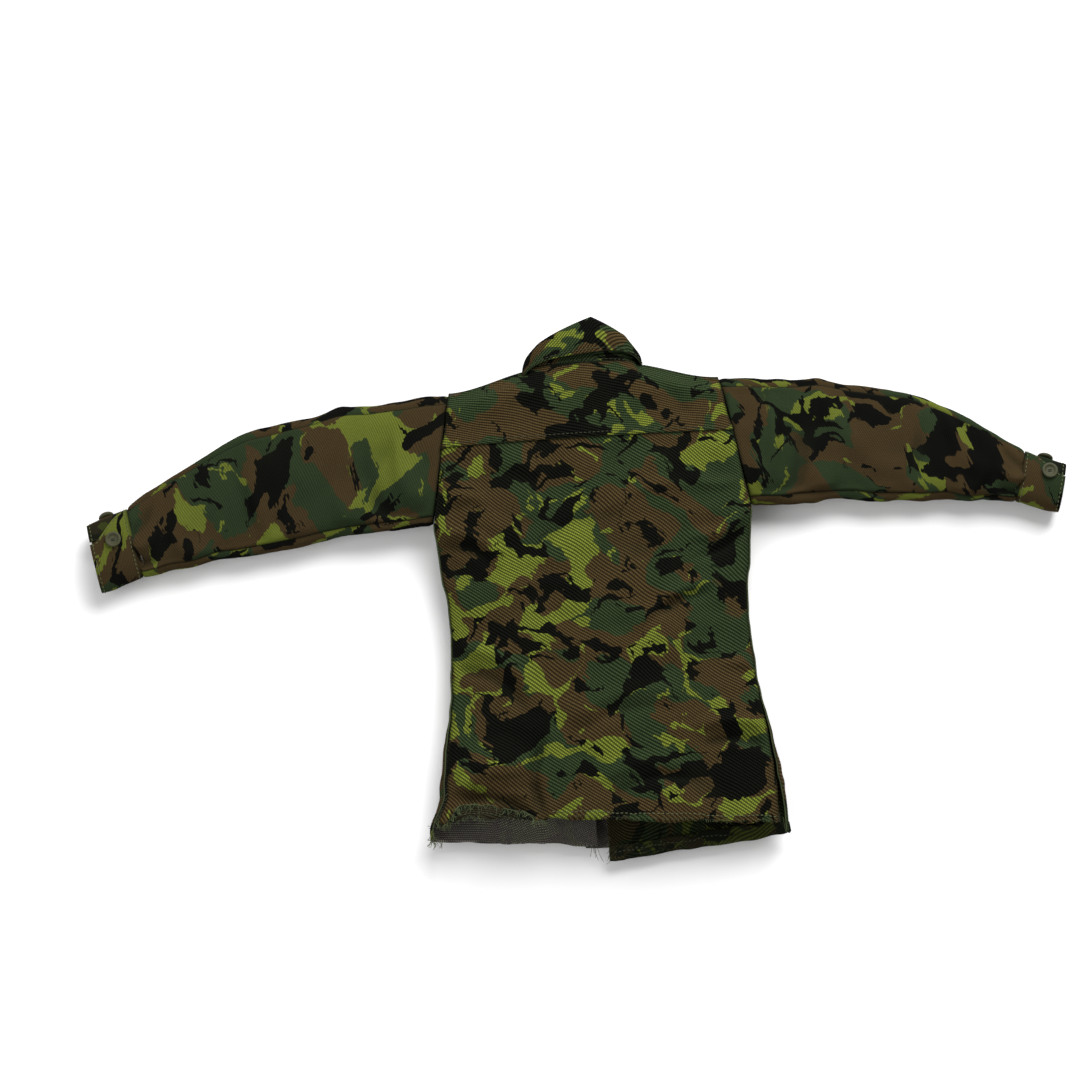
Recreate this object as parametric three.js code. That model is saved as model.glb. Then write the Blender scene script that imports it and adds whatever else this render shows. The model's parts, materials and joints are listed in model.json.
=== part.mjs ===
// A field jacket for a twelve inch figure, one sixth of life size, lying face down with its sleeves spread.
// Millimetres. +X runs to the jacket's left as it lies, +Y to the collar, +Z out of the back.
// The origin lies under the middle of the back, on the flat underside of the fly.
import * as THREE from 'three';

// cloth
const cloth = 0.9; // thickness of a sewn layer
const gap = 0.35; // between neighbouring pieces

// body
const backLength = 132; // hem to neck seam
const hemWidth = 98.5;
const waistWidth = 84.6;
const chestWidth = 90.6; // at the underarms
const shoulderWidth = 77.6; // between the tops of the armholes
const waistHeight = 53; // above the back hem
const armholeDepth = 45; // neck seam to underarm
const shoulderDrop = 6.6; // neck seam to the top of the armhole
const yokeDepth = 23; // neck seam to yoke seam
const underarmHeight = backLength - armholeDepth;
const shoulderHeight = backLength - shoulderDrop;
const yokeHeight = backLength - yokeDepth;
const neckWidth = 33;
const frontLevel = 3.6; // underside of the fronts
const sideRadius = 3.6; // roll of the side, from front to back
const crown = 15; // highest line of the back
const armholeTop = 12; // outside of the back at the armhole
const foldLine = 34; // where a front folds back, from the centre
const shoulderRise = 3.6; // turn-up of the fronts at the shoulder seam
const shoulderRoll = 6; // length of that turn-up

// the two fronts hang lower than the back hem, the right one further
const sides = {
  left: { sign: -1, frontDrop: 4.5, reach: 93.5, droop: 6, laps: false, buttonAngle: 80, buttonAt: 1.45 },
  right: { sign: 1, frontDrop: 9, reach: 86, droop: 0, laps: true, buttonAngle: 72, buttonAt: 1.62 },
};

// fly
const flyLap = 4.5; // each side of the centre line
const flyWidth = 13;
const buttonCount = 5;
const buttonDiameter = 4.5;
const buttonThickness = 0.9;
const frontNeck = backLength - 14; // throat, lower than the neck seam at the back

// pockets
const pocketOuter = 29; // outer edge, from the centre
const lowerPocket = { width: 19, depth: 27, top: 43, slant: 0 };
const chestPocket = { width: 16, depth: 19, top: backLength - 31, slant: 14 };
const flapDepth = 8;
const flapOverhang = 0.6;

// sleeves and cuffs
const sleeveTopLevel = 10.8; // at the elbow
const cuffTopLevel = 10.4;
const sleeveUnderside = 0.5;
const armholeUnderside = 3.1;
const cuffLength = 13;
const cuffSlant = 4; // drop of the cuff from its seam to its end
const panelSeams = [35, 150]; // degrees round the sleeve from its upper edge

// collar
const standHeight = 6.2;
const collarPeak = 13.4; // fold above the neck seam, at its highest
const peakOffset = 3.4; // the peak sits off the centre line
const collarFall = 3; // lower edge of the leaf above the neck seam
const neckUnderside = 3.6;
const neckTop = 13.4;

const olive = 0x4c5230;
const green = 0x34502e;
const brown = 0x4a3a28;
const lime = 0x6f8335;
const buttonOlive = 0x6a6648;

const lerp = THREE.MathUtils.lerp;
const smooth = THREE.MathUtils.smoothstep;
const rad = THREE.MathUtils.degToRad;

const jacket = new THREE.Group();
jacket.position.y = -backLength / 2;

function add(name, geometry, colour, roughness = 0.9) {
  const material = new THREE.MeshStandardMaterial({ color: colour, roughness, metalness: 0 });
  const mesh = new THREE.Mesh(geometry, material);
  mesh.name = name;
  jacket.add(mesh);
  return mesh;
}

// Volume with its sign: a slab that came out inside out gets its triangles turned.
function faceOutward(geometry) {
  const p = geometry.attributes.position;
  const index = geometry.index.array;
  const a = new THREE.Vector3();
  const b = new THREE.Vector3();
  const c = new THREE.Vector3();
  let volume = 0;
  for (let i = 0; i < index.length; i += 3) {
    a.fromBufferAttribute(p, index[i]);
    b.fromBufferAttribute(p, index[i + 1]);
    c.fromBufferAttribute(p, index[i + 2]);
    volume += a.dot(b.cross(c));
  }
  if (volume < 0) {
    for (let i = 0; i < index.length; i += 3) {
      [index[i], index[i + 1]] = [index[i + 1], index[i]];
    }
  }
  geometry.computeVertexNormals();
  return geometry;
}

// A layer of cloth: a flat slab bent into place. place(across, along, through) gives its points, all from 0 to 1.
function layer(name, colour, across, along, place) {
  const geometry = new THREE.BoxGeometry(1, 1, 1, across, along, 1);
  const p = geometry.attributes.position;
  for (let i = 0; i < p.count; i += 1) {
    const point = place(p.getX(i) + 0.5, p.getY(i) + 0.5, p.getZ(i) + 0.5);
    p.setXYZ(i, point[0], point[1], point[2]);
  }
  return add(name, faceOutward(geometry), colour);
}

// ---- body ----

function halfWidth(y) {
  if (y < waistHeight) {
    return lerp(waistWidth, hemWidth, smooth(waistHeight - y, 0, waistHeight)) / 2;
  }
  if (y < underarmHeight) {
    return lerp(waistWidth, chestWidth, smooth(y, waistHeight, underarmHeight)) / 2;
  }
  return lerp(chestWidth, shoulderWidth, (y - underarmHeight) / (shoulderHeight - underarmHeight)) / 2;
}

// how far round the side the front reaches, in radians: over the edge at the hem, none at the armhole
function wrapAngle(y) {
  const atBody = rad(lerp(148, 95, smooth(y, 0, waistHeight)));
  return atBody * (1 - smooth(y, underarmHeight - 10, underarmHeight));
}

// where the back meets the front: just past the end of the front's roll
function seamX(y) {
  const angle = wrapAngle(y);
  if (angle <= Math.PI / 2) {
    return halfWidth(y);
  }
  return halfWidth(y) - sideRadius * (1 - Math.sin(angle)) + 0.7 * (cloth + gap) * Math.cos(angle);
}

function seamLevel(y) {
  const angle = wrapAngle(Math.min(y, underarmHeight - 10));
  const onSide = frontLevel + sideRadius * (1 - Math.cos(angle)) + (cloth + gap) * Math.sin(angle);
  return lerp(onSide, armholeTop, smooth(y, underarmHeight - 14, underarmHeight));
}

// top edge of the body: neck seam, then the shoulder slope down to the armhole
function topEdge(x) {
  const outward = (Math.abs(x) - neckWidth / 2) / (shoulderWidth / 2 - neckWidth / 2);
  return outward <= 0 ? backLength - 1 : lerp(backLength - 1, shoulderHeight, smooth(outward, -0.2, 1));
}

function backLevel(x, y) {
  const edge = seamX(y);
  const rise = 1 - Math.abs(x / edge) ** 2.6;
  const level = lerp(seamLevel(y), crown, Math.max(rise, 0));
  const roll = smooth(y, topEdge(x) - shoulderRoll, topEdge(x));
  const neckKeeps = smooth(Math.abs(x), neckWidth / 2 - 3, neckWidth / 2 + 2);
  const shoulder = frontLevel + shoulderRise + gap + 2 * cloth;
  return lerp(level, lerp(neckTop, shoulder, neckKeeps), roll);
}

layer('back_panel', green, 18, 12, (u, v, w) => {
  const y = lerp(0, yokeHeight - gap / 2, v);
  const edge = seamX(y) - gap;
  const x = lerp(-edge, edge, u);
  return [x, y, backLevel(x, y) - cloth * (1 - w)];
});

layer('back_yoke', brown, 18, 8, (u, v, w) => {
  const low = yokeHeight + gap / 2;
  const reach = lerp(-1, 1, u) * (shoulderWidth / 2 - gap);
  const y = lerp(low, topEdge(reach), v);
  const edge = seamX(y) - gap;
  const x = lerp(-edge, edge, u);
  return [x, y, backLevel(x, y) - cloth * (1 - w)];
});

function frontHem(side, x) {
  const inward = 1 - Math.min(Math.abs(x) / (hemWidth / 2), 1);
  return -side.frontDrop + (1 - inward) * 2.5 - inward * 2;
}

function frontTop(x) {
  const out = Math.min(Math.abs(x) / (neckWidth / 2), 1);
  return out < 1 ? lerp(frontNeck, backLength - 1, out ** 2) : topEdge(x);
}

function frontRise(x, y) {
  const atShoulder = smooth(Math.abs(x), neckWidth / 2 - 4, neckWidth / 2 + 1);
  return shoulderRise * atShoulder * smooth(y, frontTop(x) - shoulderRoll, frontTop(x));
}

// The strip of each front outside its fold line stays with the body and rolls up to the side seam.
for (const [name, side] of Object.entries(sides)) {
  layer(`front_${name}_side`, green, 8, 14, (u, v, w) => {
    const low = frontHem(side, hemWidth / 2);
    const y = lerp(low, shoulderHeight - 0.5, v);
    const yBody = Math.max(y, 0);
    const angle = wrapAngle(yBody);
    const flat = halfWidth(yBody) - sideRadius * Math.sin(Math.min(angle, Math.PI / 2)) - foldLine;
    const along = u * (flat + sideRadius * angle);
    const inset = cloth * w;
    const rise = frontRise(foldLine, y);
    if (along <= flat) {
      return [side.sign * (foldLine + along), y, frontLevel + rise + inset];
    }
    const turned = (along - flat) / sideRadius;
    const radius = sideRadius - inset;
    const x = foldLine + flat + radius * Math.sin(turned);
    return [side.sign * x, y, frontLevel + rise + sideRadius - radius * Math.cos(turned)];
  });

  const edge = side.laps ? flyLap - gap / 2 : -flyLap - gap / 2;
  layer(`front_${name}_panel`, side.laps ? olive : green, 10, 10, (u, v, w) => {
    const x = side.sign * lerp(-edge, foldLine - gap, u);
    const y = lerp(frontHem(side, x), frontTop(x), v);
    return [x, y, frontLevel + frontRise(x, y) + cloth * w];
  });
}

// ---- fly ----

// the cover is sewn to the left front and hides the buttons of the right front
layer('fly_cover', olive, 6, 1, (u, v, w) => {
  const x = lerp(flyLap + gap - flyWidth, flyLap + gap, u);
  const y = lerp(frontHem(sides.left, 0), frontNeck - 1.5, v);
  const lift = (frontLevel - cloth - gap) * (1 - smooth(x, flyLap - flyWidth, -flyLap));
  return [x, y, lift + cloth * w];
});

function button(name, rim, shank, segments) {
  const outer = buttonDiameter / 2;
  const profile = [
    [0, 0],
    [outer * 0.3, 0],
    [outer * 0.3, shank],
    [outer * 0.9, shank],
    [outer, shank + 0.25],
    [outer, shank + buttonThickness - 0.15],
    [outer * 0.85, shank + buttonThickness],
    [outer * 0.6, shank + buttonThickness - rim],
    [0, shank + buttonThickness - rim],
  ];
  const points = profile.map(([r, h]) => new THREE.Vector2(r, h));
  const mesh = add(name, new THREE.LatheGeometry(points, segments), buttonOlive, 0.55);
  return mesh;
}

function faceAlong(mesh, direction) {
  mesh.quaternion.setFromUnitVectors(new THREE.Vector3(0, 1, 0), direction.clone().normalize());
}

const down = new THREE.Vector3(0, 0, -1);
const flyShank = frontLevel - 2 * gap - cloth - buttonThickness;
for (let i = 0; i < buttonCount; i += 1) {
  const mesh = button(`fly_button_${i + 1}`, 0.25, flyShank, 10);
  mesh.position.set(0, lerp(14, frontNeck - 9, i / (buttonCount - 1)), frontLevel - gap);
  faceAlong(mesh, down);
}

// ---- pockets ----

const pocketLevel = frontLevel - gap - cloth;

function pocket(place, side, sideName, shape) {
  const centre = side.sign * (pocketOuter - shape.width / 2 - Math.sin(rad(shape.slant)) * 4);
  const turn = side.sign * rad(shape.slant);
  const holder = new THREE.Group();
  holder.position.set(centre, shape.top, 0);
  holder.rotation.z = turn;
  jacket.add(holder);

  const outline = new THREE.Shape();
  const half = shape.width / 2;
  outline.moveTo(-half, 0);
  outline.lineTo(-half, 2 - shape.depth);
  outline.lineTo(2 - half, -shape.depth);
  outline.lineTo(half - 2, -shape.depth);
  outline.lineTo(half, 2 - shape.depth);
  outline.lineTo(half, 0);
  const bag = add(
    `${place}_pocket_${sideName}`,
    new THREE.ExtrudeGeometry(outline, { depth: cloth, bevelEnabled: false }),
    brown,
  );
  bag.position.z = pocketLevel;
  holder.add(bag);

  const flapHalf = half + flapOverhang;
  const flapOutline = new THREE.Shape();
  flapOutline.moveTo(-flapHalf, 0);
  flapOutline.lineTo(-flapHalf, 1.5 - flapDepth);
  flapOutline.lineTo(0, -flapDepth - 1);
  flapOutline.lineTo(flapHalf, 1.5 - flapDepth);
  flapOutline.lineTo(flapHalf, 0);
  const flap = add(
    `${place}_flap_${sideName}`,
    new THREE.ExtrudeGeometry(flapOutline, { depth: cloth, bevelEnabled: false }),
    lime,
  );
  flap.position.y = flapOverhang;
  holder.add(flap);

  const fastener = button(`${place}_pocket_button_${sideName}`, 0.2, 0.15, 10);
  fastener.scale.y = (pocketLevel - cloth - 2 * gap) / (buttonThickness + 0.15);
  faceAlong(fastener, down);
  fastener.position.set(0, flapOverhang - flapDepth + 3, pocketLevel - gap / 2);
  holder.add(fastener);
}

for (const [name, side] of Object.entries(sides)) {
  pocket('chest', side, name, chestPocket);
  pocket('lower', side, name, lowerPocket);
}

// ---- sleeves ----

const upperEdge = new THREE.SplineCurve([
  new THREE.Vector2(0, shoulderHeight),
  new THREE.Vector2(0.23, shoulderHeight - 0.8),
  new THREE.Vector2(0.48, shoulderHeight - 3.8),
  new THREE.Vector2(0.7, shoulderHeight - 10),
  new THREE.Vector2(0.85, shoulderHeight - 17.5),
  new THREE.Vector2(1, shoulderHeight - 26.2),
]);
const lowerEdge = new THREE.SplineCurve([
  new THREE.Vector2(0, underarmHeight),
  new THREE.Vector2(0.25, underarmHeight + 0.2),
  new THREE.Vector2(0.5, underarmHeight - 0.4),
  new THREE.Vector2(0.75, underarmHeight - 1.5),
  new THREE.Vector2(1, underarmHeight - 3.4),
]);

// the upper and lower edge of the sleeve at a share of its length, seen from above; past 1 they run on along the cuff
function sleeveEdges(side, t) {
  const onSleeve = Math.min(t, 1);
  const upper = upperEdge.getPoint(onSleeve);
  const lower = lowerEdge.getPoint(onSleeve);
  const armholeSlant = (chestWidth - shoulderWidth) / 2;
  const beyond = Math.max(t - 1, 0);
  return {
    upper: new THREE.Vector2(
      shoulderWidth / 2 + gap + upper.x * side.reach + beyond * (cuffLength - 1),
      upper.y - beyond * cuffSlant,
    ),
    lower: new THREE.Vector2(
      chestWidth / 2 + gap + lower.x * (side.reach - armholeSlant - 4) + beyond * (cuffLength - 1),
      lower.y - side.droop * onSleeve - beyond * cuffSlant,
    ),
  };
}

function sleeveLevels(t) {
  const onSleeve = Math.min(t, 1);
  const top = onSleeve < 0.5
    ? lerp(armholeTop - 0.1, sleeveTopLevel, smooth(onSleeve, 0, 0.5))
    : lerp(sleeveTopLevel, cuffTopLevel, smooth(onSleeve, 0.5, 1));
  const bottom = lerp(armholeUnderside, sleeveUnderside, smooth(onSleeve, 0, 0.35));
  return { top, bottom };
}

// a point on the flattened tube: angle 0 at the upper edge, 90 on top, 180 at the lower edge
function tubePoint(side, t, degrees, inset) {
  const { upper, lower } = sleeveEdges(side, t);
  const { top, bottom } = sleeveLevels(t);
  const middle = upper.clone().add(lower).multiplyScalar(0.5);
  const reach = upper.clone().sub(lower).multiplyScalar(0.5);
  reach.setLength(reach.length() - inset);
  const height = (top - bottom) / 2 - inset;
  const c = Math.cos(rad(degrees));
  const s = Math.sin(rad(degrees));
  const level = (top + bottom) / 2 + height * Math.sign(s) * Math.abs(s) ** 0.8;
  return [side.sign * (middle.x + reach.x * c), middle.y + reach.y * c, level];
}

const [upperSeam, lowerSeam] = panelSeams;
const seamGap = 1.6; // degrees left open at a panel seam

// The cuff is one band: its end laps over its own start, so it runs more than once round.
const cuffLapEnd = 28;
const cuffTurn = 395;
const cuffGrowth = cloth + gap;

function cuffInset(turned) {
  return cuffGrowth * (turned / 360) - cuffGrowth;
}

for (const [name, side] of Object.entries(sides)) {
  layer(`sleeve_${name}_top`, brown, 12, 14, (u, v, w) => {
    const angle = lerp(upperSeam + seamGap, lowerSeam - seamGap, u);
    return tubePoint(side, v, angle, cloth * w);
  });
  layer(`sleeve_${name}_under`, green, 18, 14, (u, v, w) => {
    const angle = lerp(lowerSeam + seamGap, 360 + upperSeam - seamGap, u);
    return tubePoint(side, v, angle, cloth * w);
  });
  const seam = 1 + gap / cuffLength;
  layer(`cuff_${name}`, olive, 36, 2, (u, v, w) => {
    const turned = u * cuffTurn;
    return tubePoint(side, lerp(seam, 2, v), cuffLapEnd + turned, cuffInset(turned) + cuffGrowth + cloth * w);
  });

  // one button on the lap, and the spare one for a tighter cuff on the folded edge beside it
  const places = [
    { label: `cuff_${name}_button`, angle: side.buttonAngle, along: side.buttonAt, inset: 0 },
    { label: `cuff_${name}_spare_button`, angle: -10, along: 1.52, inset: cuffGrowth },
  ];
  for (const { label, angle, along, inset } of places) {
    const at = (t, degrees, depth) => new THREE.Vector3(...tubePoint(side, t, degrees, depth));
    const seat = at(along, angle, inset - gap);
    const round = at(along, angle + 4, inset).sub(at(along, angle - 4, inset));
    const lengthways = at(1.7, angle, inset).sub(at(1.3, angle, inset));
    const normal = round.cross(lengthways);
    if (normal.dot(seat.clone().sub(at(along, angle, inset + 1))) < 0) {
      normal.negate();
    }
    const mesh = button(label, 0.3, 0.2, 20);
    mesh.position.copy(seat);
    faceAlong(mesh, normal);
  }
}

// ---- collar ----

// a point on the flattened neck tube: 90 degrees at the back, 270 at the throat
function neckPoint(degrees, y, outset) {
  const c = Math.cos(rad(degrees));
  const s = Math.sin(rad(degrees));
  const height = (neckTop - neckUnderside) / 2 + outset;
  const level = (neckTop + neckUnderside) / 2 + height * Math.sign(s) * Math.abs(s) ** 0.8;
  return [(neckWidth / 2 - 1 + outset) * c, y, level];
}

const throat = 14; // degrees left open each side of the throat
const neckSeam = backLength - 1 + gap;

layer('collar_stand', green, 30, 2, (u, v, w) => {
  const angle = lerp(throat - 90, 270 - throat, u);
  return neckPoint(angle, lerp(neckSeam, neckSeam + standHeight, v), -cloth * w);
});

layer('collar_leaf', lime, 30, 4, (u, v, w) => {
  const angle = lerp(throat - 90, 270 - throat, u);
  const atBack = Math.max(Math.sin(rad(angle)), 0);
  const x = neckPoint(angle, 0, 0)[0];
  const tent = 1 - Math.abs(x - peakOffset) / (neckWidth / 2 + Math.abs(peakOffset));
  const fold = neckSeam + lerp(standHeight, collarPeak, atBack * Math.max(tent, 0));
  const edge = neckSeam + collarFall * atBack;
  const y = lerp(edge, fold, v);
  return neckPoint(angle, y, gap + cloth * (1 - w) + cloth * 0.4 * (1 - v));
});

export default jacket;
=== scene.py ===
import json
import math
import bpy
import numpy as np
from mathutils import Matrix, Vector

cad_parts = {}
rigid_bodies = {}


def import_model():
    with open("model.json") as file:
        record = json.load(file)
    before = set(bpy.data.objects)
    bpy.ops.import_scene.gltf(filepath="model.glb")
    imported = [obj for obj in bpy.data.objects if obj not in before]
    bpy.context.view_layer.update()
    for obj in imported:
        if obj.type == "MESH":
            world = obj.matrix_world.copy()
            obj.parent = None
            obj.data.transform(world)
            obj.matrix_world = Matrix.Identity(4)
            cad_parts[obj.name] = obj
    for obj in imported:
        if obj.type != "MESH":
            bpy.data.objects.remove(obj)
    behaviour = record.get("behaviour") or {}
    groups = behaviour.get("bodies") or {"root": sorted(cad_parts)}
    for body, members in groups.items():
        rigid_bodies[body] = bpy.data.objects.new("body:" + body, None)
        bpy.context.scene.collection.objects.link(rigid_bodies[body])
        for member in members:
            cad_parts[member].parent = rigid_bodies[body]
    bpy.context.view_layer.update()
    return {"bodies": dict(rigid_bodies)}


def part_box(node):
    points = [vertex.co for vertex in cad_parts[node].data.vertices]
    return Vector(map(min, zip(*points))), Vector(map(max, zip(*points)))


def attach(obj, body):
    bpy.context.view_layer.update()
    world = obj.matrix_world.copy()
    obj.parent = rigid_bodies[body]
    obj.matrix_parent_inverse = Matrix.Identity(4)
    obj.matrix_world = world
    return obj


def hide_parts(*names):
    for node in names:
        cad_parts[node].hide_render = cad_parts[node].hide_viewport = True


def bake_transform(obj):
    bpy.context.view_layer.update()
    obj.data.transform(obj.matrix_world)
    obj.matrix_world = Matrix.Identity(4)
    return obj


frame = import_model()
mm = 0.001

# numbers shared by the sewn pieces, in millimetres, heights above the back hem


def boxOf(node):
    low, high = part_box(node)
    return [c / mm for c in low], [c / mm for c in high]


backLow, backHigh = boxOf("back_panel")
yokeLow, yokeHigh = boxOf("back_yoke")
hemLine = backLow[1]
body = {
    "hemHalf": boxOf("front_right_side")[1][0],
    "waistHalf": 42.3,
    "chestHalf": 45.3,
    "shoulderHalf": 38.8,
    "waist": 53.0,
    "underarm": 87.0,
    "shoulder": 125.4,
    "yoke": yokeLow[1] - hemLine,
    "neck": yokeHigh[1] - hemLine,
    "neckHalf": 16.5,
    "frontLevel": 3.6,
    "sideRadius": 3.6,
    "crown": backHigh[2],
    "armholeTop": 12.0,
    "foldLine": 34.0,
}
clothThickness = 0.42


def smooth(x, low, high):
    t = np.clip((x - low) / (high - low), 0, 1)
    return t * t * (3 - 2 * t)


def mix(a, b, t):
    return a + (b - a) * t


def softNoise(x, y, size, seed):
    # smooth random values from -1 to 1, in patches about size across
    table = np.random.default_rng(seed).uniform(-1, 1, (89, 89))
    gx, gy = np.asarray(x) / size + 31.7, np.asarray(y) / size + 17.3
    ix, iy = np.floor(gx).astype(int), np.floor(gy).astype(int)
    fx, fy = gx - ix, gy - iy
    fx, fy = fx * fx * (3 - 2 * fx), fy * fy * (3 - 2 * fy)
    a, b = table[ix % 89, iy % 89], table[(ix + 1) % 89, iy % 89]
    c, d = table[ix % 89, (iy + 1) % 89], table[(ix + 1) % 89, (iy + 1) % 89]
    return mix(mix(a, b, fx), mix(c, d, fx), fy)


def crease(x, y, line):
    # a rounded fold along a line, fading towards both of its ends
    x0, y0, x1, y1, width, height = line
    dx, dy = x1 - x0, y1 - y0
    length = math.hypot(dx, dy)
    along = ((x - x0) * dx + (y - y0) * dy) / length
    bow = 0.12 * length * np.sin(np.clip(along / length, 0, 1) * math.pi)
    off = ((x - x0) * dy - (y - y0) * dx) / length + bow
    fade = smooth(along, -0.15 * length, 0.3 * length) * (1 - smooth(along, 0.7 * length, 1.15 * length))
    return height * np.exp(-((off / width) ** 2)) * fade


# materials


def addNode(tree, kind, settings=None, **inputs):
    # an input goes by its name, or by its number as i0, i1 and so on
    made = tree.nodes.new(kind)
    for key, value in (settings or {}).items():
        setattr(made, key, value)
    for key, value in inputs.items():
        numbered = key[0] == "i" and key[1:].isdigit()
        socket = made.inputs[int(key[1:]) if numbered else key.replace("_", " ")]
        if isinstance(value, bpy.types.NodeSocket):
            tree.links.new(value, socket)
        else:
            socket.default_value = value
    return made


def maths(tree, operation, a, b=0.0, c=0.0):
    return addNode(tree, "ShaderNodeMath", {"operation": operation}, i0=a, i1=b, i2=c).outputs[0]


def band(tree, value, low, high):
    return addNode(tree, "ShaderNodeMapRange", {"interpolation_type": "SMOOTHSTEP"},
                   i0=value, i1=low, i2=high).outputs[0]


def noiseAt(tree, vector, scale, detail=2.0, roughness=0.5, colour=False):
    made = addNode(tree, "ShaderNodeTexNoise", {"noise_dimensions": "3D"}, Vector=vector, Scale=scale,
                   Detail=detail, Roughness=roughness)
    return made.outputs["Color" if colour else "Fac"]


def shifted(tree, vector, by):
    return addNode(tree, "ShaderNodeVectorMath", {"operation": "ADD"}, i0=vector, i1=by).outputs[0]


def mixColour(tree, factor, a, b, blend="MIX"):
    made = addNode(tree, "ShaderNodeMix", {"data_type": "RGBA", "blend_type": blend})
    for socket, value in ((made.inputs[0], factor), (made.inputs[6], a), (made.inputs[7], b)):
        if isinstance(value, bpy.types.NodeSocket):
            tree.links.new(value, socket)
        else:
            socket.default_value = value
    return made.outputs[2]


def newGroup(name, inputs, outputs):
    tree = bpy.data.node_groups.new(name, "ShaderNodeTree")
    for label, kind, value in inputs:
        socket = tree.interface.new_socket(label, in_out="INPUT", socket_type=kind)
        if value is not None:
            socket.default_value = value
    for label, kind in outputs:
        tree.interface.new_socket(label, in_out="OUTPUT", socket_type=kind)
    start, end = tree.nodes.new("NodeGroupInput"), tree.nodes.new("NodeGroupOutput")
    return tree, start.outputs, end.inputs


printColours = {
    "forest": (0.0180, 0.0292, 0.0128, 1),
    "brown": (0.0390, 0.0262, 0.0112, 1),
    "lime": (0.090, 0.110, 0.0165, 1),
    "black": (0.0022, 0.0024, 0.0023, 1),
    "worn": (0.050, 0.047, 0.030, 1),
}
# in mm of cloth; a field is its offset, scale, stretch and turn, a lobe adds its width's scale, level and gain
printShape = {
    "tooth": 1.1,
    "sweeps": ((0.045, 22), (0.16, 4.5), (0.7, 1.1)),
    "brown": ((11, 4, 3), 0.046, 1.7, 0.5),
    "lime": (((40, 13, 21), 0.058, 1.3, -0.5, 0.062, 0.514, 0.70),
             ((70, -33, 12), 0.10, 1.0, 0.4, 0.09, 0.566, 0.6)),
    "black": (((-27, 51, 35), 0.070, 1.4, -0.35, 0.075, 0.490, 0.66),
              ((-61, 20, 44), 0.12, 1.2, 0.9, 0.10, 0.530, 0.6)),
    "wear": 0.07,
}


def makeJunglePrint():
    # four printed colours: brown over forest green, then lime lobes with thin necks, then black twigs
    tree, given, out = newGroup("junglePrint", [("Cloth", "NodeSocketVector", None),
                                                ("Row", "NodeSocketFloat", 0.0)],
                                [("Color", "NodeSocketColor")])
    cloth = given["Cloth"]

    def sweep(vector, scale, amount):
        centred = addNode(tree, "ShaderNodeVectorMath", {"operation": "SUBTRACT"},
                          i0=noiseAt(tree, cloth, scale, 1, colour=True), i1=(0.5, 0.5, 0.5)).outputs[0]
        return addNode(tree, "ShaderNodeVectorMath", {"operation": "MULTIPLY_ADD"},
                       i0=centred, i1=(amount, amount, 0), i2=vector).outputs[0]

    # every rib takes the colour a little to one side, so that edges end in short teeth
    tooth = addNode(tree, "ShaderNodeTexWhiteNoise", {"noise_dimensions": "1D"}, W=given["Row"]).outputs[0]
    sideways = maths(tree, "MULTIPLY", maths(tree, "SUBTRACT", tooth, 0.5), printShape["tooth"])
    swept = shifted(tree, cloth, addNode(tree, "ShaderNodeCombineXYZ", X=sideways).outputs[0])
    for scale, amount in printShape["sweeps"]:
        swept = sweep(swept, scale, amount)

    def spread(offset, scale, stretch, turn):
        moved = addNode(tree, "ShaderNodeVectorRotate", {"rotation_type": "Z_AXIS"},
                        Vector=shifted(tree, swept, offset), Angle=turn).outputs[0]
        moved = addNode(tree, "ShaderNodeVectorMath", {"operation": "MULTIPLY"},
                        i0=moved, i1=(1, stretch, 1)).outputs[0]
        return noiseAt(tree, moved, scale, 1.0, 0.4)

    def lobes(offset, scale, stretch, turn, widthScale, level, gain):
        # lines of the field's middle value, drawn as wide as a second field says
        distance = maths(tree, "ABSOLUTE", maths(tree, "SUBTRACT", spread(offset, scale, stretch, turn), 0.5))
        field = noiseAt(tree, shifted(tree, swept, (offset[1], offset[0], 9)), widthScale, 1.5)
        width = maths(tree, "MULTIPLY", maths(tree, "SUBTRACT", field, level), gain)
        return maths(tree, "SUBTRACT", width, distance)

    brown = band(tree, spread(*printShape["brown"]), 0.474, 0.482)
    lime, black = [maths(tree, "MAXIMUM", lobes(*printShape[name][0]), lobes(*printShape[name][1]))
                   for name in ("lime", "black")]
    colour = mixColour(tree, brown, printColours["forest"], printColours["brown"])
    colour = mixColour(tree, band(tree, lime, 0.004, 0.010), colour, printColours["lime"])
    colour = mixColour(tree, band(tree, black, 0.003, 0.009), colour, printColours["black"])
    wear = maths(tree, "MULTIPLY", noiseAt(tree, cloth, 0.05, 3), printShape["wear"])
    colour = mixColour(tree, wear, colour, printColours["worn"])
    tree.links.new(colour, out["Color"])
    return tree


twillShape = {"wander": 3.0, "yarnPitch": 0.7, "stagger": 0.37, "roundness": 1.15, "fluff": 0.3}


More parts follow.
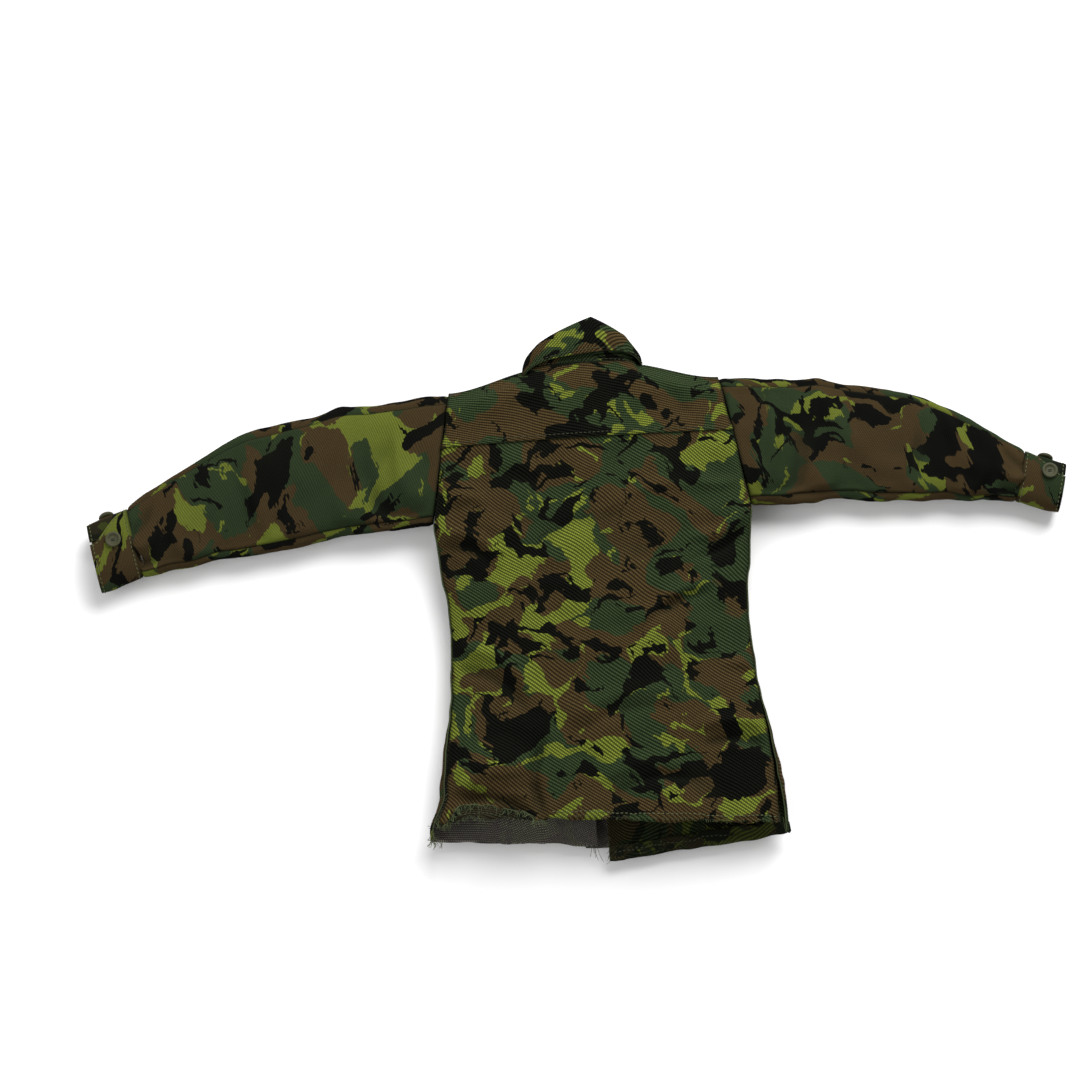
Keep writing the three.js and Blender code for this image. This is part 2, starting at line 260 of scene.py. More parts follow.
def makeTwill():
    # ribs that cross the cloth at a slant, each a row of small yarn bumps
    tree, given, out = newGroup("twillWeave", [("Cloth", "NodeSocketVector", None),
                                               ("Pitch", "NodeSocketFloat", 0.9),
                                               ("Slant", "NodeSocketFloat", 0.36),
                                               ("Cross", "NodeSocketFloat", 0.35)],
                                [("Height", "NodeSocketFloat"), ("Shade", "NodeSocketFloat"),
                                 ("Row", "NodeSocketFloat")])

    def wave(turns):
        return maths(tree, "MULTIPLY_ADD", maths(tree, "COSINE", maths(tree, "MULTIPLY", turns, 2 * math.pi)), 0.5, 0.5)

    slow = maths(tree, "SUBTRACT", noiseAt(tree, given["Cloth"], 0.07, 0.0), 0.5)
    wander = maths(tree, "MULTIPLY", slow, twillShape["wander"])
    turned = addNode(tree, "ShaderNodeVectorRotate", {"rotation_type": "Z_AXIS"},
                     Vector=given["Cloth"], Angle=given["Slant"]).outputs[0]
    parts = addNode(tree, "ShaderNodeSeparateXYZ", i0=turned)
    across = maths(tree, "ADD", parts.outputs[1], wander)
    turns = maths(tree, "DIVIDE", across, given["Pitch"])
    rib = wave(turns)
    ribCount = maths(tree, "FLOOR", maths(tree, "ADD", turns, 0.5))
    yarnPitch = maths(tree, "MULTIPLY", given["Pitch"], twillShape["yarnPitch"])
    stagger = maths(tree, "MULTIPLY", ribCount, twillShape["stagger"])
    yarn = wave(maths(tree, "ADD", maths(tree, "DIVIDE", parts.outputs[0], yarnPitch), stagger))
    fluff = noiseAt(tree, given["Cloth"], 2.3, 3, 0.6)
    bumps = maths(tree, "MULTIPLY_ADD", yarn, given["Cross"], maths(tree, "SUBTRACT", 1.0, given["Cross"]))
    height = maths(tree, "MULTIPLY", maths(tree, "POWER", rib, twillShape["roundness"]), bumps)
    height = maths(tree, "MULTIPLY_ADD", fluff, twillShape["fluff"], height)
    tree.links.new(height, out["Height"])
    tree.links.new(ribCount, out["Row"])
    tree.links.new(band(tree, height, 0.05, 1.1), out["Shade"])
    return tree


junglePrint = makeJunglePrint()
twillWeave = makeTwill()


def startMaterial(name, roughness, specular=0.25):
    material = bpy.data.materials.new(name)
    material.use_nodes = True
    tree = material.node_tree
    shader = tree.nodes["Principled BSDF"]
    shader.inputs["Roughness"].default_value = roughness
    shader.inputs["Specular IOR Level"].default_value = specular
    return material, tree, shader


def clothMaterial(name, settings):
    material, tree, shader = startMaterial(name, 1.0, 0.02)
    uv = addNode(tree, "ShaderNodeUVMap", {"uv_map": "grain"}).outputs[0]
    cloth = addNode(tree, "ShaderNodeVectorMath", {"operation": "SCALE"}, i0=uv, Scale=100.0).outputs[0]
    twill = addNode(tree, "ShaderNodeGroup", {"node_tree": twillWeave}, Cloth=cloth,
                    Pitch=settings["pitch"], Slant=settings["slant"], Cross=settings["cross"])
    printed = addNode(tree, "ShaderNodeGroup", {"node_tree": junglePrint}, Cloth=cloth, Row=twill.outputs["Row"])
    seamDarkAndPaintedShade = addNode(tree, "ShaderNodeAttribute", {"attribute_name": "seamDarkAndPaintedShade"}).outputs["Fac"]
    colour = mixColour(tree, 1.0 - settings["reverse"], settings["ground"], printed.outputs["Color"])
    # painted shade and painted highlight of the weave: a darkened copy of the colour for the gaps between ribs and a
    # brightened copy for the rib tops, mixed by the weave's Shade
    gapShadedColour = mixColour(tree, 1.0, colour, settings["gapShade"], "MULTIPLY")
    lit = mixColour(tree, 1.0, colour, settings["topHighlight"], "MULTIPLY")
    uneven = maths(tree, "ADD", maths(tree, "MULTIPLY", noiseAt(tree, cloth, 1.7, 1.0), 0.9), 0.5)
    colour = mixColour(tree, maths(tree, "MULTIPLY", twill.outputs["Shade"], uneven), gapShadedColour, lit)
    # darkened towards near-black by the attribute: along sewn edges, plus painted shade in crease valleys, under the
    # cuff lap and on the right front's turned strip
    colour = mixColour(tree, maths(tree, "MULTIPLY", seamDarkAndPaintedShade, 0.75), colour, (0.008, 0.010, 0.006, 1))
    tree.links.new(colour, shader.inputs["Base Color"])
    bump = addNode(tree, "ShaderNodeBump", Strength=settings["relief"], Distance=0.0003,
                   Height=twill.outputs["Height"])
    tree.links.new(bump.outputs[0], shader.inputs["Normal"])
    return material


# pitch in mm, slant in radians, reverse is how far the print is lost in the plain ground; the gap and top tints are
# painted shade in the gaps between ribs and painted highlight on the rib tops
outside = {"pitch": 0.84, "slant": 0.66, "cross": 0.6, "relief": 0.55, "reverse": 0.0, "ground": (0.1, 0.1, 0.1, 1),
           "gapShade": (0.30, 0.31, 0.31, 1), "topHighlight": (2.35, 2.3, 2.1, 1)}
# the reverse's pale grey ground is its own colour, lightened further as painted light for the shaded band inside the
# left front
reverse = dict(outside, pitch=0.62, slant=-0.2, cross=0.95, relief=0.9, reverse=0.64, ground=(0.270, 0.250, 0.222, 1),
               gapShade=(0.2, 0.2, 0.2, 1), topHighlight=(1.6, 1.6, 1.6, 1))
yokeCloth = dict(outside, pitch=0.74, slant=0.26)
# painted shade: the facing's ground is near-black, darker than the cloth itself, to stand in for the shadow over the
# inside of the right front
shadedFacing = dict(outside, relief=0.6, reverse=0.6, ground=(0.010, 0.013, 0.007, 1))
sleeveCloth = dict(outside, pitch=0.56, slant=1.05, cross=0.8, relief=0.35, gapShade=(0.72, 0.72, 0.72, 1),
                   topHighlight=(1.42, 1.38, 1.36, 1))
cuffCloth = dict(sleeveCloth, slant=0.3)
# the turned cloth's dark ground is painted shade for the shadowed turned-up hem strip, over the reverse's faded print
turnedCloth = dict(reverse, cross=0.6, relief=0.7, reverse=0.5, ground=(0.030, 0.033, 0.022, 1),
                   gapShade=(0.3, 0.3, 0.3, 1))
jungleTwill = clothMaterial("jungleTwill", outside)
jungleSleeve = clothMaterial("jungleSleeveTwill", sleeveCloth)
jungleCuff = clothMaterial("jungleCuffTwill", cuffCloth)
jungleReverse = clothMaterial("jungleReverse", reverse)
jungleFacingShaded = clothMaterial("jungleFacingShaded", shadedFacing)
jungleYoke = clothMaterial("jungleYoke", yokeCloth)
jungleTurned = clothMaterial("jungleTurned", turnedCloth)


def plainMaterial(name, colour, second, scale, roughness, specular, relief):
    material, tree, shader = startMaterial(name, roughness, specular)
    place = addNode(tree, "ShaderNodeTexCoord").outputs["Object"]
    patches = noiseAt(tree, place, scale, 4, 0.6)
    tree.links.new(mixColour(tree, patches, colour, second), shader.inputs["Base Color"])
    bump = addNode(tree, "ShaderNodeBump", Strength=relief, Distance=0.0002, Height=patches)
    tree.links.new(bump.outputs[0], shader.inputs["Normal"])
    return material


# two colours, the scale of their patches, roughness, specular and relief
plain = {
    "oliveThread": ((0.055, 0.070, 0.028, 1), (0.120, 0.135, 0.065, 1), 2600, 0.8, 0.2, 0.4),
    "darkThread": ((0.030, 0.036, 0.020, 1), (0.075, 0.085, 0.045, 1), 2600, 0.85, 0.2, 0.4),
    "frayThread": ((0.045, 0.060, 0.025, 1), (0.12, 0.145, 0.065, 1), 2600, 0.9, 0.15, 0.4),
    "rawEdge": ((0.022, 0.032, 0.014, 1), (0.070, 0.085, 0.038, 1), 2200, 0.95, 0.1, 0.8),
    "buttonPlastic": ((0.034, 0.034, 0.016, 1), (0.055, 0.054, 0.027, 1), 900, 0.62, 0.2, 0.12),
}
oliveThread, darkThread, frayThread, rawEdge, buttonPlastic = [plainMaterial(name, *plain[name]) for name in plain]
print("materials made")

# cloth panels


def normalsOf(points):
    du = np.gradient(points, axis=0)
    dv = np.gradient(points, axis=1)
    n = np.cross(du, dv)
    return n / np.maximum(np.linalg.norm(n, axis=2, keepdims=True), 1e-9)


def meshFrom(name, points, faces, materials, faceMaterials=None):
    mesh = bpy.data.meshes.new(name)
    mesh.from_pydata((np.asarray(points).reshape(-1, 3) * mm).tolist(), [], faces)
    for material in materials:
        mesh.materials.append(material)
    if faceMaterials is not None:
        mesh.polygons.foreach_set("material_index", faceMaterials)
    mesh.polygons.foreach_set("use_smooth", [True] * len(mesh.polygons))
    piece = bpy.data.objects.new(name, mesh)
    bpy.context.scene.collection.objects.link(piece)
    return piece


def makePanel(name, place, grain, across, along, outward=1, relief=None, materials=None,
              sewn=(1, 1, 1, 1), thickness=clothThickness, paintedShade=None):
    # place gives points and grain the cut's own coordinates, both in mm, for shares across and along
    # a shaded mask, when given, paints shade into the colour over that share of the outer face
    u, v = np.meshgrid(np.linspace(0, 1, across + 1), np.linspace(0, 1, along + 1), indexing="ij")
    points = place(u, v)
    cut = grain(points, u, v)
    normal = normalsOf(points) * outward
    valley = 0 * u
    if relief is not None:
        lift = relief(points, cut, u, v)
        # painted shade: the colour is darkened where the relief sinks into crease valleys
        valley = 0.5 * smooth(-lift, 0.15, 1.5)
        points = points + normal * lift[..., None]
        normal = normalsOf(points) * outward
    inner = points - normal * thickness
    width = np.linalg.norm(np.diff(points, axis=0), axis=2).sum(axis=0).mean()
    length = np.linalg.norm(np.diff(points, axis=1), axis=2).sum(axis=1).mean()
    far = 99.0
    edge = np.minimum.reduce([u * width if sewn[0] else u * 0 + far, (1 - u) * width if sewn[1] else u * 0 + far,
                              v * length if sewn[2] else u * 0 + far, (1 - v) * length if sewn[3] else u * 0 + far])
    # darker along sewn edges; the same attribute carries the painted crease shade and the painted shade of the mask
    seamDarkAndPaintedShade = np.maximum(np.exp(-(edge / 0.45) ** 2), valley)
    if paintedShade is not None:
        seamDarkAndPaintedShade = np.maximum(seamDarkAndPaintedShade, paintedShade(u, v))

    rows, columns = across + 1, along + 1
    count = rows * columns
    index = np.arange(count).reshape(rows, columns)
    a, b, c, d = index[:-1, :-1].ravel(), index[1:, :-1].ravel(), index[1:, 1:].ravel(), index[:-1, 1:].ravel()
    if outward < 0:
        b, d = d, b
    top = np.stack([a, b, c, d], axis=1)
    bottom = top[:, ::-1] + count
    loop = np.concatenate([index[:, 0], index[-1, 1:], index[-2::-1, -1], index[0, -2:0:-1]])
    following = np.roll(loop, -1)
    rim = np.stack([following, loop, loop + count, following + count], axis=1)
    if outward < 0:
        rim = rim[:, ::-1]
    faces = np.concatenate([top, bottom, rim])
    kinds = np.repeat([0, 1, 2], [len(top), len(bottom), len(rim)])
    piece = meshFrom(name, np.concatenate([points.reshape(-1, 3), inner.reshape(-1, 3)]), faces.tolist(),
                     materials or [jungleTwill, jungleReverse, rawEdge], kinds)
    mesh = piece.data
    layer = mesh.uv_layers.new(name="grain")
    corner = np.empty(len(mesh.loops), dtype=np.int64)
    mesh.loops.foreach_get("vertex_index", corner)
    both = np.concatenate([cut.reshape(-1, 2), cut.reshape(-1, 2)])
    layer.data.foreach_set("uv", (both[corner] / 100).ravel())
    shade = mesh.attributes.new("seamDarkAndPaintedShade", "FLOAT", "POINT")
    shade.data.foreach_set("value", np.concatenate([seamDarkAndPaintedShade.ravel(), seamDarkAndPaintedShade.ravel()]))
    cutArea = np.abs(np.cross(np.diff(cut, axis=0)[:, :-1], np.diff(cut, axis=1)[:-1])).sum()
    spread = cut.reshape(-1, 2).max(axis=0) - cut.reshape(-1, 2).min(axis=0)
    return {"piece": piece, "points": points, "normal": normal,
            "flat": (spread[0] * mm, spread[1] * mm), "area": cutArea * mm * mm}


def onPanel(panel, u, v, lift=0.0):
    # a place on the panel's face, lift above it
    points, normal = panel["points"], panel["normal"]
    x, y = np.clip(u, 0, 1) * (points.shape[0] - 1), np.clip(v, 0, 1) * (points.shape[1] - 1)
    i, j = min(int(x), points.shape[0] - 2), min(int(y), points.shape[1] - 2)
    f, g = x - i, y - j

    def between(grid):
        return mix(mix(grid[i, j], grid[i + 1, j], f), mix(grid[i, j + 1], grid[i + 1, j + 1], f), g)

    return between(points) + between(normal) * lift


# stitches and loose threads


def newGeometryTree(name, inputs):
    tree = bpy.data.node_groups.new(name, "GeometryNodeTree")
    tree.interface.new_socket("Geometry", in_out="INPUT", socket_type="NodeSocketGeometry")
    for label, kind, value in inputs:
        socket = tree.interface.new_socket(label, in_out="INPUT", socket_type=kind)
        if value is not None:
            socket.default_value = value
    tree.interface.new_socket("Geometry", in_out="OUTPUT", socket_type="NodeSocketGeometry")
    return tree, tree.nodes.new("NodeGroupInput").outputs, tree.nodes.new("NodeGroupOutput").inputs


def makeStitchTree():
    tree, given, out = newGeometryTree("stitchRun", [("Pitch", "NodeSocketFloat", 0.0013),
                                                     ("Length", "NodeSocketFloat", 0.0009),
                                                     ("Thickness", "NodeSocketFloat", 0.0002),
                                                     ("Thread", "NodeSocketMaterial", None)])
    path = addNode(tree, "GeometryNodeMeshToCurve", Mesh=given["Geometry"]).outputs[0]
    spaced = addNode(tree, "GeometryNodeResampleCurve", {"mode": "LENGTH"},
                     Curve=path, Length=given["Pitch"]).outputs[0]
    tangent = addNode(tree, "GeometryNodeInputTangent").outputs[0]
    turn = addNode(tree, "FunctionNodeAlignRotationToVector", {"axis": "X"}, Vector=tangent).outputs[0]
    bead = addNode(tree, "GeometryNodeMeshUVSphere", Segments=6, Rings=4, Radius=0.5).outputs[0]
    size = addNode(tree, "ShaderNodeCombineXYZ",
                   X=given["Length"], Y=given["Thickness"], Z=given["Thickness"]).outputs[0]
    placed = addNode(tree, "GeometryNodeInstanceOnPoints",
                     Points=spaced, Instance=bead, Rotation=turn, Scale=size).outputs[0]
    real = addNode(tree, "GeometryNodeRealizeInstances", Geometry=placed).outputs[0]
    done = addNode(tree, "GeometryNodeSetMaterial", Geometry=real, Material=given["Thread"]).outputs[0]
    tree.links.new(done, out["Geometry"])
    return tree


def makeFrayTree():
    tree, given, out = newGeometryTree("looseThreads", [("Spacing", "NodeSocketFloat", 0.0009),
                                                        ("Length", "NodeSocketFloat", 0.0022),
                                                        ("Seed", "NodeSocketInt", 4),
                                                        ("Thread", "NodeSocketMaterial", None)])
    path = addNode(tree, "GeometryNodeMeshToCurve", Mesh=given["Geometry"]).outputs[0]
    spaced = addNode(tree, "GeometryNodeResampleCurve", {"mode": "LENGTH"},
                     Curve=path, Length=given["Spacing"]).outputs[0]
    hair = addNode(tree, "GeometryNodeCurveQuadraticBezier", Resolution=5, Start=(0, 0, 0), Middle=(0.3, -0.5, 0.28),
                   End=(0.05, -1.0, 0.1)).outputs[0]
    section = addNode(tree, "GeometryNodeCurvePrimitiveCircle", Resolution=3, Radius=0.042).outputs[0]
    strand = addNode(tree, "GeometryNodeCurveToMesh", Curve=hair, Profile_Curve=section, Fill_Caps=True).outputs[0]
    turns = addNode(tree, "FunctionNodeRandomValue", {"data_type": "FLOAT_VECTOR"}, i0=(-0.5, -1.4, -1.0),
                    i1=(0.9, 1.4, 1.0), Seed=given["Seed"]).outputs[0]
    turn = addNode(tree, "FunctionNodeEulerToRotation", i0=turns).outputs[0]
    long = addNode(tree, "FunctionNodeRandomValue", {"data_type": "FLOAT"},
                   i2=0.25, i3=1.0, Seed=given["Seed"]).outputs[1]
    size = addNode(tree, "ShaderNodeMath", {"operation": "MULTIPLY"}, i0=long, i1=given["Length"]).outputs[0]
    placed = addNode(tree, "GeometryNodeInstanceOnPoints",
                     Points=spaced, Instance=strand, Rotation=turn, Scale=size).outputs[0]
    real = addNode(tree, "GeometryNodeRealizeInstances", Geometry=placed).outputs[0]
    done = addNode(tree, "GeometryNodeSetMaterial", Geometry=real, Material=given["Thread"]).outputs[0]
    tree.links.new(done, out["Geometry"])
    return tree


stitchTree = makeStitchTree()
frayTree = makeFrayTree()


def runTree(name, tree, paths, settings):
    # paths are lists of points in mm; the tree's result becomes one plain mesh
    points, edges = [], []
    for path in paths:
        edges += [(len(points) + i, len(points) + i + 1) for i in range(len(path) - 1)]
        points += [tuple(np.asarray(p) * mm) for p in path]
    mesh = bpy.data.meshes.new(name + "Path")
    mesh.from_pydata(points, edges, [])
    holder = bpy.data.objects.new(name + "Path", mesh)
    bpy.context.scene.collection.objects.link(holder)
    modifier = holder.modifiers.new("made", "NODES")
    modifier.node_group = tree
    for item in tree.interface.items_tree:
        if item.item_type == "SOCKET" and item.in_out == "INPUT" and item.name in settings:
            modifier[item.identifier] = settings[item.name]
    bpy.context.view_layer.update()
    made = bpy.data.meshes.new_from_object(holder.evaluated_get(bpy.context.evaluated_depsgraph_get()))
    made.name = name
    bpy.data.objects.remove(holder)
    piece = bpy.data.objects.new(name, made)
    bpy.context.scene.collection.objects.link(piece)
    made.polygons.foreach_set("use_smooth", [True] * len(made.polygons))
    return piece


def stitches(name, paths, thread=None, pitch=1.25, length=0.95, thickness=0.24):
    return runTree(name, stitchTree, paths, {"Pitch": pitch * mm, "Length": length * mm,
                                             "Thickness": thickness * mm, "Thread": thread or oliveThread})


def fray(name, paths, seed, spacing=0.8, length=2.2, thread=None):
    return runTree(name, frayTree, paths, {"Spacing": spacing * mm, "Length": length * mm, "Seed": seed,
                                           "Thread": thread or darkThread})


def line(panel, u0, v0, u1, v1, lift=0.1, count=60):
    return [onPanel(panel, mix(u0, u1, t), mix(v0, v1, t), lift) for t in np.linspace(0, 1, count)]


def lines(panel, *ends):
    # each entry gives a line's two ends in shares of the panel, then its lift and count if they differ
    return [line(panel, *end) for end in ends]


# the body


def turnedHem(t, curl, bend=1.49):
    # where a hem strip lies, t along it from the hem line: drop below the line and rise towards the printed side
    k = np.where(np.abs(curl) < 0.02, 0.02, curl) / bend
    on, past = np.minimum(t, bend), np.maximum(t - bend, 0)
    angle = k * on
    drop = np.sin(angle) / k + past * np.cos(angle)
    rise = -(1 - np.cos(angle)) / k - past * np.sin(angle)
    return drop, rise


def rowsWithHem(v, strip, share=0.09):
    # the first share of the rows is the turned strip, counted down to 0 at the hem line
    t = np.interp(v, [0, share], [strip, 0])
    s = np.interp(v, [share, 1], [0, 1])
    return np.where(v < share, t, 0), s


def halfWidth(y):
    low = mix(body["waistHalf"], body["hemHalf"], smooth(body["waist"] - y, 0, body["waist"]))
    chest = mix(body["waistHalf"], body["chestHalf"], smooth(y, body["waist"], body["underarm"]))
    share = (y - body["underarm"]) / (body["shoulder"] - body["underarm"])
    armhole = mix(body["chestHalf"], body["shoulderHalf"], share)
    uneven = 0.45 * softNoise(y, 7, 7, 31) + 0.2 * softNoise(y, 9, 3, 32)
    return np.where(y < body["waist"], low, np.where(y < body["underarm"], chest, armhole)) + uneven


def wrapAngle(y):
    lower = np.radians(mix(148.0, 95.0, smooth(y, 0, body["waist"])))
    return lower * (1 - smooth(y, body["underarm"] - 10, body["underarm"]))


def wallAngle(y):
    # the printed cloth of the fronts keeps its side wall right up to the armpit
    lower = np.radians(mix(148.0, 95.0, smooth(y, 0, body["waist"])))
    return lower * (1 - smooth(y, body["underarm"] - 0.5, body["underarm"] + 1.5))


def seamX(y):
    angle = wrapAngle(y)
    rolled = body["sideRadius"] * (1 - np.sin(angle)) - 0.9 * np.cos(angle)
    return halfWidth(y) - np.where(angle > math.pi / 2, rolled, 0)


def seamLevel(y):
    angle = wrapAngle(np.minimum(y, body["underarm"] - 10))
    side = body["frontLevel"] + body["sideRadius"] * (1 - np.cos(angle)) + 0.7 * np.sin(angle)
    return mix(side, body["armholeTop"], smooth(y, body["underarm"] - 14, body["underarm"]))


def topEdge(x):
    out = (np.abs(x) - body["neckHalf"]) / (body["shoulderHalf"] - body["neckHalf"])
    return np.where(out <= 0, body["neck"], mix(body["neck"], body["shoulder"], smooth(out, -0.2, 1)))


def backLevel(x, y):
    rise = np.maximum(1 - np.abs(x / seamX(y)) ** 2.6, 0)
    level = mix(seamLevel(y), body["crown"] - 0.8, rise)
    roll = smooth(y, topEdge(x) - 6, topEdge(x) + 0.2)
    neckLevel = 8.4 + 4.9 * np.maximum(1 - (x / 15.6) ** 2, 0) ** 0.4
    return mix(level, neckLevel, roll)


# folds in the cloth of the back: from x, y to x, y, then width and height
backCreases = [
    (24, 24, 49, 20, 2.0, 1.1), (26, 19, 50, 14, 1.6, -0.9), (-42, 52, -20, 36, 2.2, 0.8),
    (-43, 46, -22, 31, 1.8, -0.7), (10, 50, 31, 62, 1.6, -0.8), (12, 53, 34, 66, 2.0, 0.7),
    (-20, 3, -18, 23, 1.6, -1.3), (-44, 13, -20, 15, 4.5, 1.5), (-46, 7, -24, 3, 2.0, -1.1),
    (-45, 84, -27, 77, 1.8, 0.8), (-44, 80, -28, 72, 1.5, -0.7), (-43, 92, -30, 92, 1.8, 0.7),
    (45, 86, 27, 78, 1.8, 0.8), (44, 81, 28, 72, 1.6, -0.7), (42, 94, 27, 96, 1.6, 0.6),
    (-30, 66, 4, 60, 2.6, 0.45), (-10, 28, 22, 34, 2.4, 0.55), (-8, 24, 20, 29, 1.8, -0.45),
    (-36, 101, -10, 97, 2.0, 0.35), (4, 88, 34, 92, 2.2, 0.4), (-16, 78, 12, 84, 2.4, -0.35),
    (-4, 10, 22, 13, 2.2, 0.6), (0, 6, 26, 8, 1.4, -0.5), (34, 42, 47, 36, 1.6, 0.7),
    (-28, 118, -8, 122, 2.2, 0.4), (8, 116, 34, 121, 2.4, 0.4), (16, 125, 30, 112, 1.8, -0.35),
]


def backRelief(points, cut, u, v):
    x, y = points[..., 0], points[..., 1] - hemLine
    lift = 1.9 * sum(crease(x, y, fold) for fold in backCreases)
    slant = softNoise(x * 0.5 + y * 0.9, y * 0.35 - x * 0.55, 5.5, 3)
    lift = lift + 0.55 * slant + 0.55 * softNoise(x, y, 11, 8) + 0.18 * softNoise(x, y, 3.6, 12)
    rumpled = smooth(-x, 14, 34) * (1 - smooth(y, 8, 22))
    lift = lift + rumpled * (0.7 * softNoise(x * 0.6, y * 1.6, 3.4, 13) + 0.3 * softNoise(x, y, 1.9, 14))
    lift = lift * smooth(np.abs(y - body["yoke"]), 0.6, 6)
    # the cloth tucks in where it is sewn to its neighbours
    edge = np.minimum(u, 1 - u) * 85
    return lift * smooth(edge, 0, 4) - 0.55 * np.exp(-(edge / 0.9) ** 2)


backHem = {"strip": 4.8, "flipFrom": -43.5, "flipTo": -20.0, "flip": -2.95, "corner": 0.9}


def hemWave(x):
    waves = 0.5 * softNoise(x, 0, 7, 41) + 0.3 * softNoise(x, 5, 2.5, 44)
    return -0.2 - 3.7 * x / 47 + waves - 1.6 * smooth(-x, 40, 47)


def hemCurl(x):
    # turned under along most of the hem, flipped up over the cloth at the left, open at the corner
    begun = smooth(x, backHem["flipFrom"] - 2.5, backHem["flipFrom"] + 2)
    flipped = begun * (1 - smooth(x, backHem["flipTo"] - 5, backHem["flipTo"] + 5))
    curl = mix(3.05 + 0 * x, backHem["flip"] + 0.3 * softNoise(x, 2, 4, 45), flipped)
    corner = 1 - smooth(x, backHem["flipFrom"] - 3.5, backHem["flipFrom"] - 1)
    return mix(curl, backHem["corner"], corner)


def backPlace(low, high, strip=0.0):
    def place(u, v):
        x0 = mix(-1.0, 1.0, u)
        bottom, top = low(x0 * body["hemHalf"]), high(x0 * body["shoulderHalf"])
        if strip:
            t, s = rowsWithHem(v, strip)
            y = mix(bottom, top, s)
        else:
            t, y = 0 * v, mix(bottom, top, v)
        clamped = np.maximum(y, 0)
        x = x0 * (seamX(clamped) - 0.15)
        z = backLevel(x, clamped) - 0.25 * smooth(-y, 0, 4)
        if strip:
            curl = hemCurl(x)
            t = t * mix(0.25, 1, smooth(np.abs(curl), 0.6, 2.7))
            t = t * np.where(curl < 0, mix(1.05, 0.55, smooth(x, -40, -24)), 1)
            drop, rise = turnedHem(t, curl)
            ragged = 0.5 * softNoise(x, t * 2, 1.6, 46) * smooth(t, 1, 4)
            y, z = y - drop - ragged, z + rise
        x = x - 3.4 * smooth(-x, 33, 47) * (1 - smooth(y, 0, 9))  # the left corner spreads
        return np.stack([x, y + hemLine, z], axis=-1)
    return place


def flatGrain(shiftX, shiftY):
    # a cut that lies flat already: its own coordinates are where it lies
    def cut(points, u, v):
        return np.stack([points[..., 0] + shiftX, points[..., 1] + shiftY], axis=-1)
    return cut


def measuredGrain(shiftX, shiftY, sign=1):
    # a cut that bends round something: its coordinates are the mean distances along the cloth
    def cut(points, u, v):
        across = np.linalg.norm(np.diff(points, axis=0), axis=2).mean(axis=1)
        along = np.cumsum(np.linalg.norm(np.diff(points, axis=1), axis=2), axis=1)
        x = np.concatenate([[0], np.cumsum(across)])[:, None] + 0 * u
        y = np.concatenate([along[:, :1] * 0, along], axis=1) - along[:, -1:]  # counted from the far edge
        return np.stack([sign * x + shiftX, y + shiftY], axis=-1)
    return cut


backLay = backPlace(hemWave, lambda x: body["yoke"] + 1.2 + x * 0, backHem["strip"])
backPanel = makePanel("back_cloth", backLay, measuredGrain(0, 0), 170, 186, 1, backRelief,
                      [jungleTwill, jungleTurned, rawEdge], sewn=(1, 1, 0, 1))


def yokeRelief(points, cut, u, v):
    step = 0.42 * (1 - smooth(v * 22, 0.0, 6.0)) + 0.12
    return backRelief(points, cut, u, v) * smooth(v, 0, 0.2) * (1 - smooth(v, 0.72, 0.95)) * 0.8 + step


yokeLay = backPlace(lambda x: body["yoke"] - 0.5 + x * 0, topEdge)
yokePanel = makePanel("yoke_cloth", yokeLay, flatGrain(140, 35), 150, 44, 1, yokeRelief,
                      [jungleYoke, jungleReverse, rawEdge], sewn=(1, 1, 0, 1))
print("back made")

# fronts


def frontHem(side, x):
    inward = 1 - np.minimum(np.abs(x) / body["hemHalf"], 1)
    return -side["drop"] + (1 - inward) * 2.5 - inward * 2 + 0.35 * softNoise(x, 3, 5, 50 + side["seed"])


def frontTop(x):
    out = np.minimum(np.abs(x) / body["neckHalf"], 1)
    return np.where(out < 1, mix(118.0, body["neck"], out ** 2), topEdge(x))


def frontRise(x, y):
    atShoulder = smooth(np.abs(x), body["neckHalf"] - 4, body["neckHalf"] + 1)
    return 5.0 * atShoulder * smooth(y, frontTop(x) - 6, frontTop(x))


frontSides = {
    "left": {"sign": -1, "drop": 4.5, "edge": -4.7, "seed": 1, "inside": jungleReverse, "strip": 0.0, "curl": 0.4},
    "right": {"sign": 1, "drop": 9.0, "edge": 4.3, "seed": 2, "inside": jungleFacingShaded, "strip": 5.0, "curl": 2.95},
}


